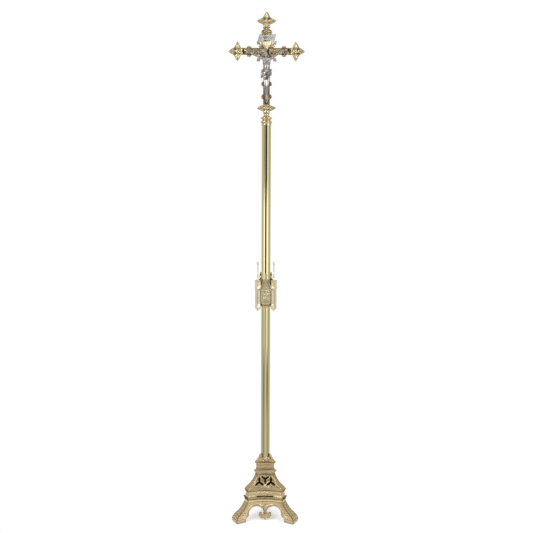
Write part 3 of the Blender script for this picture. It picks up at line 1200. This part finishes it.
def make_spray():
    """A curled stem out of a corner with three buds, in the quarter where x and z are up."""
    b = Block((BAR - 1, -5.5, BAR - 1), (41, 5.5, 41), 0.4)
    b.join(round_cone((BAR - 1, 0, BAR - 1), (30, 0, 30), 4.4, 2.6), 0)
    b.join(ellipsoid((21.5, 0, 21.5), (5.6, 3.6, 5.6)), 1.2)
    for swap in (False, True):
        def at(u, v):
            return (v, 0, u) if swap else (u, 0, v)
        b.join(round_cone(at(19, 18), at(25.5, 15.6), 1.8, 1.5), 0.8)
        b.join(round_cone(at(25.5, 15.6), at(28.6, 18.6), 1.5, 1.8), 0.5)
        b.join(ellipsoid(at(29.2, 19.4), (3.3, 3.4, 3.3)), 0.5)
        b.join(ellipsoid(at(24.5, 16.6), (4.6, 3.0, 4.6)), 0.8)
        b.join(ellipsoid(at(36.2, 29.8), (3.2, 3.4, 3.2)), 0.5)
    b.join(ellipsoid((36.4, 0, 36.4), (3.7, 4.0, 3.7)), 0.5)
    b.join(ellipsoid((32.0, 0, 32.0), (4.4, 4.6, 4.4)), 0.7)
    for s in (-1, 1):
        b.join(round_cone((24, s * 3.2, 24), (30, s * 4.6, 30), 0.6, 0.9), 0.3, cut=True)
    b.value = np.maximum(b.value, np.maximum(BAR - 0.4 - b.x, BAR - 0.4 - b.z))
    return b.mesh("corner_bud", 1, 20000)


def make_glory():
    """The fan behind the head: rays with rounded fronts that meet low on the crossing."""
    low, high = box_mm("glory_rays")
    half = high[0] + 4.0
    slope = (half - 6.0) / (high[2] - low[2] - 2.0)
    meet = low[2] + 2.0 - 6.0 / slope
    b = Block((-half, low[1] - 0.5, low[2]), (half, high[1] + 0.4, high[2]), 0.4)
    angle = np.arctan2(b.x, b.z - meet)
    most = math.atan(slope)
    out = np.hypot(b.x, b.z - meet)
    count = 5
    wave = np.abs(np.cos((angle / most + 1) / 2 * count * math.pi - math.pi / 2))
    front = high[1] - 1.0 - 2.3 * wave ** 0.7
    edge = (np.abs(angle) - most) * out
    body = np.maximum(np.maximum(edge, low[2] - b.z), b.z - high[2])
    body = np.maximum(body, np.maximum(front - b.y, b.y - high[1] - 0.3))
    b.value = body
    return b.mesh("glory_fan", 1, 60000)


def make_titulus():
    """The scroll: a slanted banner with rolled ends, ruled edges and a row of lozenges."""
    low, high = box_mm("titulus")
    height = high[2] - low[2]
    width = 65.0
    lean = (high[0] - low[0] - width) / height
    b = Block((low[0] - 2, low[1] - 2.6, low[2] - 1), (high[0] + 2, high[1] + 0.4, high[2] + 1),
              0.35)
    v = b.z - low[2]
    u = b.x - low[0] - lean * v
    table = Table((-3, -2), (width + 3, height + 2), 0.2)
    a, c = table.a, table.b
    middle = height / 2
    edge = np.minimum(c, height - c)
    value = bead(edge - 0.6, 0.7, 0.9) - 1.7 * np.exp(-((edge - 2.5) / 1.1) ** 2)
    # an engraved row of lozenges and strokes on a plain field
    for k in range(4):
        at = 12.0 + k * 13.6
        lozenge = np.abs(a - at) / 3.4 + np.abs(c - middle) / 5.4
        value = value - bead(np.abs(lozenge - 0.9) * 3.4, 0.9, 1.3)
        if k < 3:
            stroke = line_distance(a, c, [(at + 6.8, middle - 4.6), (at + 6.8, middle + 4.6)])
            value = value - bead(stroke, 1.0, 1.5)
    table.value[:] = value
    ripple = 0.55 * np.sin(u * 2 * math.pi / 33.0)
    front = low[1] + 0.9 - ripple - table.at(u, v)
    ends = np.maximum(-u, u - width) * 0.96
    body = np.maximum(np.maximum(ends, np.abs(v - middle) - middle),
                      np.maximum(front - b.y, b.y - high[1]))
    b.value = np.broadcast_to(body, b.count).astype(np.float32).copy()
    for s, at in ((-1, low[0] + 1.2), (1, low[0] + width - 1.2)):
        b.join(round_cone((at, low[1] - 0.4, low[2] + 1.2),
                          (at + lean * height, low[1] - 0.4, high[2] - 1.2), 2.1, 2.1), 0.5)
        b.join(round_cone((at + s * -2.6, low[1] + 0.1, low[2] + 1.2),
                          (at + s * -2.6 + lean * height, low[1] + 0.1, high[2] - 1.2), 0.5, 0.5),
               0.3, cut=True)
    return b.mesh("title_scroll", 1, 90000)


# ---- the figure -----------------------------------------------------------------------------
class Figure:
    """Shapes of the figure, placed from a point on the crossing's face: x to the right, f
    forward of the bars and z up."""

    def __init__(self, block, origin, turn=None, scale=1.0):
        self.block = block
        self.origin = np.array(origin, float)
        self.turn = np.identity(3) if turn is None else turn
        self.scale = scale

    def at(self, x, f, z):
        """The place of a point of the figure in the shared frame."""
        return self.origin + self.scale * (self.turn @ np.array([x, -f, z], float))

    def ball(self, centre, radii, fillet=1.0, cut=False, tip=0.0):
        """An ellipsoid, tipped sideways by tip degrees."""
        turn = self.turn @ turned_by(0, 0, tip)
        self.block.join(ellipsoid(self.at(*centre), np.array(radii) * self.scale, turn),
                        fillet, cut)

    def limb(self, start, end, start_r, end_r, fillet=1.0, cut=False):
        """A rod with round ends."""
        self.block.join(round_cone(self.at(*start), self.at(*end), start_r * self.scale,
                                   end_r * self.scale), fillet, cut)

    def strand(self, points, start_r, end_r, fillet=0.5, cut=False):
        """A chain of short limbs along a smooth curve, thinning from start_r to end_r."""
        curve = through(points, 4)
        radii = np.linspace(start_r, end_r, len(curve))
        for p, q, r0, r1 in zip(curve, curve[1:], radii, radii[1:]):
            self.limb(p, q, r0, r1, fillet, cut)


def make_body():
    """The figure without its head: raised arms, a loincloth with folds and a knot, bent knees
    and one foot over the other."""
    low, high = box_mm("corpus")
    face = high[1]
    b = Block((low[0], low[1], low[2]), (high[0], face + 1, CROSS_Z + 12), 0.45)
    g = Figure(b, (0, face, CROSS_Z))
    # trunk
    g.ball((0.2, 10.0, -41), (14.6, 8.6, 18), 0)
    g.ball((0.2, 9.0, -63), (11.0, 7.6, 17), 4)
    g.ball((0, 9.6, -86), (14.2, 9.4, 14), 4)
    for s in (-1, 1):
        g.ball((s * 6.4, 16.2, -35.5), (6.8, 3.4, 5.6), 2.0, tip=-s * 12)
        g.ball((s * 12.6, 10, -31), (5.4, 5.6, 5.6), 2.5)
        g.ball((s * 11.4, 8.0, -44), (4.2, 6.0, 12), 2.5)
        g.ball((s * 7.2, 14.6, -47), (6.4, 3.6, 5.0), 1.5)
        g.limb((s * 5.5, 16.2, -29.0), (s * 13.0, 14.0, -27.0), 1.5, 1.3, 1.5)
    g.ball((0, 15.0, -64), (6.4, 3.0, 11), 2.0)
    # hollow under the ribs, the middle line, rib lines and navel
    g.strand([(-10.8, 14.2, -60), (-6.0, 18.6, -52.5), (0, 19.4, -48.5), (6.0, 18.6, -52.5),
              (10.8, 14.2, -60)], 1.0, 1.0, 0.8, True)
    g.strand([(0, 20.0, -31), (0, 20.4, -40), (0, 19.6, -52), (0, 18.6, -66)], 0.75, 0.6, 0.6, True)
    for s in (-1, 1):
        for k in range(3):
            z = -43.0 - 4.8 * k
            g.strand([(s * 13.9, 8.5, z + 1.0), (s * 11.8, 14.6, z - 1.2),
                      (s * 7.2, 18.6, z - 0.2 + k)], 0.75, 0.5, 0.6, True)
        g.strand([(s * 12.4, 15.0, -33), (s * 9.5, 18.9, -41.0), (s * 3.0, 20.3, -41.4)],
                 0.7, 0.6, 0.6, True)
        g.strand([(s * 4.2, 18.2, -57), (s * 4.6, 17.6, -66), (s * 3.6, 17.2, -75)], 0.55, 0.5, 0.5,
                 True)
    g.ball((0, 18.6, -68.5), (0.9, 1.2, 1.2), 0.5, True)
    # neck
    g.limb((-0.5, 9.5, -28), (-7.0, 13.5, -15), 5.6, 4.8, 3.0)
    g.limb((3.5, 14.0, -27), (-4.0, 15.5, -15), 1.3, 1.2, 1.2)
    g.limb((-5.5, 14.0, -27), (-8.0, 16.0, -16), 1.2, 1.1, 1.2)
    # arms, with the muscles that fill them and the hands pierced by their nails
    for s, hand_z in ((-1, -4.0), (1, 5.0)):
        shoulder = (s * 15.5, 9.2, -29.5)
        elbow = (s * 44.0, 8.2, 0.5 * hand_z - 14.0)
        wrist = (s * 72.0, 5.6, hand_z - 1.4)
        g.limb(shoulder, elbow, 5.2, 3.7, 3.0)
        g.ball((s * 19.0, 9.8, -27.5), (6.4, 5.2, 5.0), 2.0)
        g.ball((s * 30, 9.4, 0.25 * hand_z - 21.5), (9.0, 4.6, 4.7), 1.5, tip=-s * 26)
        g.limb(elbow, wrist, 3.8, 2.5, 1.5)
        g.ball((s * 52, 7.8, 0.64 * hand_z - 10.5), (9.0, 3.7, 3.9), 1.5, tip=-s * 22)
        g.ball((s * 78.6, 4.4, hand_z), (5.4, 2.6, 4.2), 1.5)
        for k, spread in enumerate((3.2, 1.1, -1.0, -3.0)):
            root = (s * 81.0, 4.4, hand_z + spread)
            knuckle = (s * (85.0 - 0.4 * abs(k - 1)), 5.4, hand_z + 1.35 * spread)
            tip = (s * (87.4 - 0.5 * abs(k - 1)), 7.4, hand_z + 1.3 * spread)
            g.limb(root, knuckle, 1.25, 1.1, 0.5)
            g.limb(knuckle, tip, 1.1, 0.85, 0.3)
        g.limb((s * 77.0, 5.2, hand_z + 3.6), (s * 80.4, 7.6, hand_z + 6.6), 1.3, 1.0, 0.8)
        # the line under the upper arm where it leaves the chest
        g.strand([(s * 15.5, 12.6, -36.5), (s * 22, 13.0, -30.5), (s * 32, 12.6, -24.5)],
                 0.7, 0.4, 0.5, True)
    # legs
    for s, knee, ankle in ((-1, (-5.0, 19.6, -135), (-3.0, 9.8, -179)),
                           (1, (3.2, 18.6, -137), (1.6, 7.8, -177))):
        hip = (s * 6.2, 10.6, -97)
        g.limb(hip, knee, 7.6, 5.0, 2.0)
        g.limb(knee, ankle, 4.7, 3.2, 1.5)
        g.ball((knee[0], knee[1] + 1.2, knee[2]), (4.2, 4.5, 5.0), 1.5)
        g.ball((0.62 * knee[0] + 0.38 * ankle[0] + s * 0.5, 12.4, knee[2] - 14),
               (4.1, 4.8, 10.5), 2)
        g.limb((knee[0] - s * 1.0, knee[1] + 4.2, knee[2] - 7),
               (ankle[0], ankle[1] + 2.6, ankle[2] + 6), 1.5, 1.1, 1.2)
    g.strand([(-0.6, 24.0, -112), (-0.9, 24.5, -126), (-1.0, 24.0, -140), (-0.9, 18.0, -154),
              (-0.8, 14.0, -168)], 1.1, 0.8, 0.5, True)
    # feet, the left one in front, with toes
    g.limb((2.9, 7.6, -177), (3.4, 5.2, -190), 3.6, 3.3, 1.5)
    g.limb((3.4, 5.2, -190), (1.4, 4.4, -201), 3.2, 3.0, 1.5)
    g.limb((-1.6, 9.8, -179), (-0.8, 9.6, -188), 3.7, 3.5, 1.5)
    g.limb((-0.8, 9.6, -188), (1.2, 7.2, -199), 3.5, 3.3, 1.5)
    for k in range(5):
        g.limb((-1.6 + 1.45 * k, 8.6 - 0.25 * k, -199.5 + 0.35 * k),
               (-1.8 + 1.6 * k, 9.0 - 0.3 * k, -203.9 + 0.55 * k),
               1.15 - 0.06 * k, 0.95 - 0.06 * k, 0.4)
    for s in (-1, 1):
        g.ball((-1.2 + s * 3.4, 8.6, -179.5), (1.3, 1.5, 1.5), 0.6)
    # loincloth: a full wrap, slanting folds, a knot at one hip and a hanging end at the other
    g.ball((0, 9.8, -90), (16.4, 10.8, 17.5), 1.0)
    g.ball((-1.5, 13.5, -100), (12.5, 9.6, 11.5), 2.0)
    hem = [(-16.6, 9.0, -72), (-9.0, 19.6, -79), (1.0, 23.0, -83), (10.5, 19.6, -78),
           (17.4, 9.5, -71)]
    g.strand(hem, 2.3, 2.3, 0.5)
    g.strand([(p[0], p[1] + 0.6, p[2] - 3.4) for p in hem], 0.9, 0.9, 0.4, True)
    for k, (left_z, right_z) in enumerate(((-82, -79), (-88, -82), (-95, -86), (-101, -92))):
        g.strand([(-16.4 + 0.5 * k, 11.5, left_z), (-8.5, 21.4, left_z - 7.5 - k),
                  (1.5, 24.6, 0.5 * (left_z + right_z) - 7.5), (10.5, 21.6, right_z - 4.5),
                  (16.8, 12.0, right_z)], 1.9 - 0.15 * k, 1.5, 0.5)
        g.strand([(-15.9 + 0.5 * k, 13.0, left_z - 3.4), (-8.0, 22.6, left_z - 11 - k),
                  (1.5, 25.6, 0.5 * (left_z + right_z) - 11.2), (10.2, 22.8, right_z - 8.0),
                  (16.4, 13.2, right_z - 3.4)], 0.75, 0.65, 0.4, True)
    g.strand([(-13.5, 14.0, -106.5), (-5.0, 22.0, -111.5), (4.0, 23.0, -107.5), (13.8, 16.0, -101)],
             1.5, 1.4, 0.6)
    g.ball((18.2, 10.2, -74.5), (4.0, 4.4, 4.6), 0.6)
    g.strand([(15.0, 13.6, -76.5), (18.5, 15.0, -73.0), (21.0, 12.5, -71.0)], 0.7, 0.6, 0.4, True)
    g.strand([(17.5, 11.5, -78), (19.2, 12.0, -86), (18.2, 11.0, -95)], 2.4, 1.5, 0.6)
    g.ball((-18.0, 8.6, -79), (4.4, 5.2, 6.6), 1.2)
    g.ball((-19.0, 7.6, -92), (4.4, 4.6, 14.5), 1.2, tip=4)
    for dx, x in ((0.0, -21.4), (0.6, -18.6), (1.2, -15.9)):
        g.strand([(x + 1.5, 13.2, -78), (x + 0.4, 12.9, -90), (x + dx, 11.6, -104)], 0.75, 0.6, 0.4,
                 True)
    b.value = smooth_max(b.value, b.y - face, 0.4)
    return b.mesh("figure_body", 1, 190000, reach=2.2)


def make_figure_head():
    """A bowed, bearded head of plain classical proportions, with long hair and a plaited
    wreath. Measures are from the head's middle, the chin 12.5 below it."""
    low, high = box_mm("corpus")
    origin = (-9.0, high[1] - 15.6, CROSS_Z - 6.0)
    turn = turned_by(14, 17, -19)
    b = Block((-29, low[1] - 4, CROSS_Z - 31), (9, high[1] - 0.5, CROSS_Z + 13), 0.3)
    g = Figure(b, origin, turn, 1.04)
    g.ball((0, -0.5, 2.8), (8.2, 9.9, 9.6), 0)
    g.ball((0, 2.6, -3.6), (6.5, 7.2, 8.4), 1.5)
    g.ball((0, 6.8, 5.4), (5.6, 2.8, 3.6), 1.5)
    for s in (-1, 1):
        g.ball((s * 3.9, 6.6, -2.4), (2.4, 2.3, 2.3), 1.2)
        g.ball((s * 3.0, 9.9, 0.3), (2.0, 1.7, 1.25), 0.5, True)
        g.ball((s * 3.05, 8.1, 0.1), (1.65, 1.05, 1.0), 0.2)
        g.strand([(s * 1.5, 8.9, -0.25), (s * 3.0, 9.35, -0.55), (s * 4.5, 8.3, -0.3)], 0.17, 0.15,
                 0.1, True)
        g.strand([(s * 1.2, 9.3, 1.7), (s * 3.0, 9.3, 2.5), (s * 5.0, 7.9, 1.9)], 0.62, 0.45, 0.5)
        g.ball((s * 1.05, 9.9, -4.5), (0.75, 0.85, 0.65), 0.4)
    g.limb((0, 9.1, 1.4), (0, 11.0, -4.0), 0.75, 1.05, 0.6)
    g.ball((0, 9.0, -7.2), (2.2, 1.15, 0.6), 0.3)
    g.ball((0, 8.8, -8.4), (1.7, 1.1, 0.65), 0.3)
    g.limb((-1.9, 9.7, -7.75), (1.9, 9.7, -7.75), 0.2, 0.2, 0.1, True)
    # beard and moustache
    g.ball((0, 5.4, -10.8), (4.4, 3.9, 3.9), 1.0)
    for s in (-1, 1):
        g.strand([(s * 0.2, 9.9, -6.1), (s * 1.9, 9.7, -6.6), (s * 3.3, 8.4, -8.8)], 0.62, 0.4, 0.3)
        g.strand([(s * 5.7, 3.4, -5.0), (s * 5.2, 5.6, -9.0), (s * 3.0, 7.0, -12.6),
                  (s * 1.3, 7.4, -15.6)], 1.6, 1.0, 0.6)
        g.strand([(s * 3.9, 6.6, -7.2), (s * 2.9, 7.9, -10.6), (s * 1.0, 8.2, -14.2)],
                 1.3, 0.8, 0.5)
        for k in range(3):
            x = 0.6 + 1.35 * k
            g.strand([(s * x * 1.15, 9.2 - 0.45 * k, -9.6 + 0.5 * k), (s * x, 9.2 - 0.3 * k, -12.0),
                      (s * x * 0.55, 8.6, -15.0)], 0.32, 0.25, 0.2, True)
    # hair from a middle parting, in waved locks down to the shoulders
    for s in (-1, 1):
        for k in range(7):
            back = 5.8 - 2.25 * k
            wave = 0.8 if k % 2 else -0.6
            g.strand([(s * 0.7, back * 0.45 + 0.5, 12.2 - 0.02 * k), (s * 5.6, back * 0.95, 9.6),
                      (s * 8.3, back, 4.0), (s * (8.6 + wave), back - 1.6, -2.5),
                      (s * (8.9 - wave), back - 2.2, -9.0), (s * (8.0 + wave), back - 1.5, -15.0),
                      (s * (7.4 - 0.5 * wave), back - 0.5, -20.5)], 1.55, 1.05, 0.35)
    for k in range(6):
        x = -6.0 + 2.4 * k
        g.strand([(x * 0.4, -4.0, 12.4), (x, -9.6, 6.0), (x * 1.1, -10.0, -2.0)], 1.5, 1.5, 0.4)
    # plaited wreath with short spikes
    steps = 44
    for strand in range(3):
        ring = []
        for k in range(steps + 1):
            angle = 2 * math.pi * k / steps
            twist = angle * 7 + strand * 2 * math.pi / 3
            out = 1.0 * math.cos(twist)
            ring.append(((9.7 + out) * math.sin(angle), -0.3 + (10.7 + out) * math.cos(angle),
                         7.0 + 1.0 * math.sin(twist) - 1.0 * math.cos(angle)))
        for p, q in zip(ring, ring[1:]):
            g.limb(p, q, 0.85, 0.85, 0.15)
    for k in range(14):
        angle = 2 * math.pi * (k + 0.5) / 14
        root = (10.2 * math.sin(angle), 11.0 * math.cos(angle), 7.2 - math.cos(angle))
        way = 1.0 if k % 2 else -0.6
        g.limb(root, (12.4 * math.sin(angle + 0.12), 13.2 * math.cos(angle + 0.12), 8.6 + way), 0.5,
               0.16, 0.1)
    b.value = np.maximum(b.value, b.y - high[1] + 1.0)
    return b.mesh("figure_head", 1, 150000, reach=1.3)


def make_nail_head(name, radius, depth, head):
    """A hand-forged nail along -Y from the origin, its head faceted and slightly domed."""
    outline = [(0, 0), (radius, 0), (radius, depth), (head * 0.95, depth + 0.1),
               (head, depth + 0.9), (head * 0.75, depth + 1.9), (0.3, depth + 2.9),
               (0, depth + 2.9)]
    mesh = lathe(name, outline, 8)
    mesh.transform(Matrix.Rotation(math.radians(90), 4, "X"))
    return mesh


def placed(mesh, turns=(), move=(0, 0, 0)):
    """A copy of a mesh, turned by (degrees, axis) in order and moved by mm."""
    copy = mesh.copy()
    matrix = Matrix.Translation(np.array(move) * MM)
    for degrees, axis in reversed(turns):
        matrix = matrix @ Matrix.Rotation(math.radians(degrees), 4, axis)
    copy.transform(matrix)
    return copy


CROCKET_HALF = 7.6    # half the length of a crocket along its bar
CROCKET_GAP = 51.0    # from the lowest pair on the shaft to the next


def make_ends(lobe_centre=LOBE_TIP - LOBE_LONG):
    """The four fleurons at the ends of the bars."""
    top_low, top_high = heights("fleuron_top")
    top = make_arm_fleuron(top_high - top_low - LOBE_LONG, "top_fleuron")
    piece("top_fleuron", placed(top, move=(0, 0, top_high - LOBE_LONG)), "fleuron_top", FOLIATE)
    arm = make_arm_fleuron(lobe_centre - ARM_END, "arm_fleuron")
    for name, s in (("right", 1), ("left", -1)):
        mesh = placed(arm, [(s * 90, "Y")], (s * lobe_centre, 0, CROSS_Z))
        piece("arm_fleuron_" + name, mesh, "fleuron_" + name, FOLIATE)
    piece("base_fleuron", make_base_fleuron(), "fleuron_base", FOLIATE)


def make_buds():
    """Crockets along the bars' edges, and a spray in each corner of the crossing."""
    crocket = make_crocket()
    spray = make_spray()
    arm_x = box_mm("arm_crockets")[1][0] - CROCKET_HALF
    low, high = heights("shaft_crockets")
    first = low + CROCKET_HALF
    for s, side in ((-1, "left"), (1, "right")):
        for up, level in ((1, "upper"), (-1, "lower")):
            bud = placed(crocket, [(0 if up > 0 else 180, "Y")], (s * arm_x, 0, CROSS_Z + up * BAR))
            piece("arm_crocket_%s_%s" % (side, level), bud, "arm_crockets", BRIGHT)
            bud = placed(spray, [(0 if s > 0 else 180, "Z"), (0 if up > 0 else s * 90, "Y")],
                         (0, 0, CROSS_Z))
            piece("corner_bud_%s_%s" % (side, level), bud, "corner_sprays", BRIGHT)
        for k, z in enumerate((first, first + CROCKET_GAP, high - CROCKET_HALF)):
            bud = placed(crocket, [(s * 90, "Y")], (s * BAR, 0, z))
            piece("shaft_crocket_%s_%d" % (side, k), bud, "shaft_crockets", BRIGHT)


def make_figure():
    """The silver scroll with its pins, and the figure with its nails."""
    piece("title_scroll", make_titulus(), "titulus", SCROLL)
    low, high = box_mm("titulus_pins")
    pin = make_nail_head("title_pin", 0.8, 0.3, 1.7)
    for k, x in enumerate((low[0] + 1.6, high[0] - 1.6)):
        mesh = placed(pin, move=(x, high[1] + 0.6, 0.5 * (low[2] + high[2])))
        piece("title_pin_%d" % k, mesh, "titulus_pins", SILVER)
    piece("figure_body", make_body(), "corpus", SILVER)
    piece("figure_head", make_figure_head(), "corpus", SILVER)
    low, high = box_mm("hand_nails")
    nail = make_nail_head("hand_nail", 1.1, 9.4, 2.3)
    for k, (x, z) in enumerate(((low[0] + 2.2, low[2] + 2.2), (high[0] - 2.2, high[2] - 2.2))):
        piece("hand_nail_%d" % k, placed(nail, move=(x, high[1], z)), "hand_nails", SILVER)
    low, high = box_mm("foot_nail")
    nail = make_nail_head("foot_nail", 1.3, 13.2, 2.6)
    piece("foot_nail", placed(nail, move=(0, high[1], low[2] + 2.4)), "foot_nail", SILVER)


def make_cross_head():
    piece("cross_bars", make_cross_bars(), "cross_body", BRIGHT)
    make_ends()
    make_buds()
    piece("glory_fan", make_glory(), "glory_rays", RAYED)
    make_figure()


make_cross_head()


# ---- camera, floor and light ----------------------------------------------------------------
def make_camera():
    """Standing height, a few steps in front, looking slightly down."""
    data = bpy.data.cameras.new("camera")
    data.lens = 58.95
    data.sensor_width = 36.0
    down, roll = 9.11, 0.2
    camera = bpy.data.objects.new("camera", data)
    camera.location = (0.0025, -3.6, 1.68)
    camera.rotation_euler = (math.radians(90 - down), 0, 0)
    camera.rotation_euler.rotate_axis("Z", math.radians(roll))
    bpy.context.scene.collection.objects.link(camera)
    bpy.context.scene.camera = camera


def make_floor():
    """A round pale sheet, kept small so that the staff mirrors the dim room beyond it."""
    radius, back = 0.62, 0.1
    rim = [(radius * math.cos(a), back + radius * math.sin(a), 0.0)
           for a in np.linspace(0, 2 * math.pi, 64, endpoint=False)]
    mesh = bpy.data.meshes.new("studio_floor")
    mesh.from_pydata(rim, [], [tuple(range(len(rim)))])
    floor = bpy.data.objects.new("studio_floor", mesh)
    bpy.context.scene.collection.objects.link(floor)
    n = Nodes(bpy.data.materials.new("pale_floor"))
    n.shader.inputs["Roughness"].default_value = 0.9
    n.link(n.mix(n.range(n.noise(3.0), 0.3, 0.7), (0.90, 0.90, 0.90), (0.93, 0.93, 0.93)),
           n.shader.inputs["Base Color"])
    n.shader.inputs["Emission Color"].default_value = (1.0, 1.0, 1.0, 1.0)
    n.shader.inputs["Emission Strength"].default_value = 0.35
    mesh.materials.append(n.owner)


def make_light():
    """A white backdrop, and round it a room of bright panels with dim gaps between."""
    world = bpy.data.worlds.new("studio")
    bpy.context.scene.world = world
    n = Nodes(world)
    split = n.add("ShaderNodeSeparateXYZ")
    n.link(n.add("ShaderNodeTexCoord").outputs["Generated"], split.inputs[0])
    x, y, z = (split.outputs[axis] for axis in "XYZ")
    turn = n.range(n.math("ARCTAN2", x, n.math("MULTIPLY", y, -1.0)), -math.pi, math.pi)
    # brightness round the room at five levels, from the lowest up: position 0.5 is straight
    # behind the camera, 0 and 1 are behind the object, and each level takes over from the one
    # before between two values of the direction's z
    for level, stops in (
            (None, (
                (0.0, 0.9), (0.20, 0.60), (0.33, 0.46), (0.38, 0.34), (0.42, 0.48),
                (0.47, 0.74), (0.53, 0.72), (0.60, 0.60), (0.66, 0.42), (0.75, 0.55), (1.0, 0.9))),
            ((-0.33, -0.30), (
                (0.0, 0.9), (0.20, 0.60), (0.34, 0.52), (0.365, 0.10), (0.395, 0.06),
                (0.43, 0.60), (0.50, 0.84), (0.56, 0.60), (0.595, 0.10), (0.625, 0.10),
                (0.65, 0.45), (0.75, 0.58), (1.0, 0.9))),
            ((-0.272, -0.245), (
                (0.0, 0.9), (0.20, 0.55), (0.33, 0.60), (0.37, 0.82), (0.43, 0.80),
                (0.46, 0.50), (0.51, 0.48), (0.532, 1.15), (0.62, 1.15), (0.65, 0.46),
                (0.75, 0.58), (1.0, 0.9))),
            ((-0.205, -0.165), (
                (0.0, 1.0), (0.15, 0.70), (0.30, 0.62), (0.33, 1.0), (0.35, 1.7), (0.42, 1.6),
                (0.432, 0.4), (0.438, 0.010), (0.520, 0.010), (0.528, 0.6), (0.55, 1.6),
                (0.64, 1.7), (0.665, 0.70), (0.80, 0.60), (1.0, 1.0))),
            ((-0.09, -0.06), (
                (0.0, 1.0), (0.15, 0.72), (0.32, 0.60), (0.38, 0.38), (0.45, 0.34),
                (0.475, 0.18), (0.488, 0.010), (0.553, 0.010), (0.572, 0.6), (0.61, 1.5),
                (0.65, 0.8), (0.70, 0.52), (0.85, 0.6), (1.0, 1.0)))):
        ramp = n.add("ShaderNodeValToRGB")
        n.link(turn, ramp.inputs[0])
        ends = ramp.color_ramp.elements
        ends[0].position, ends[1].position = stops[0][0], stops[-1][0]
        for position, _ in stops[1:-1]:
            ends.new(position)
        for stop, (_, value) in zip(ends, stops):
            stop.color = (value, value, value, 1)
        colour = ramp.outputs["Color"]
        room = n.mix(n.range(z, *level), room, colour) if level else colour
    # overhead the room is evenly bright, and the camera itself sees only white
    room = n.mix(n.range(z, 0.25, 0.6), room, (0.85, 0.85, 0.85))
    seen = n.add("ShaderNodeLightPath").outputs["Is Camera Ray"]
    n.link(n.mix(seen, room, (1.0, 1.0, 1.0)), n.tree.nodes["Background"].inputs["Color"])
    for name, place, size, power in (("key_panel", (-2.2, -2.4, 3.0), 1.4, 50.0),
                                     ("fill_panel", (2.4, -2.0, 2.4), 1.2, 26.0)):
        data = bpy.data.lights.new(name, "AREA")
        data.energy = power
        data.size = size
        lamp = bpy.data.objects.new(name, data)
        lamp.location = place
        aim = np.array((0, 0, 1.0)) - np.array(place)
        lamp.rotation_euler = (math.atan2(math.hypot(aim[0], aim[1]), -aim[2]), 0,
                               math.atan2(aim[1], aim[0]) - math.pi / 2)
        bpy.context.scene.collection.objects.link(lamp)


make_camera()
make_floor()
make_light()
bpy.context.scene.view_settings.view_transform = "Standard"
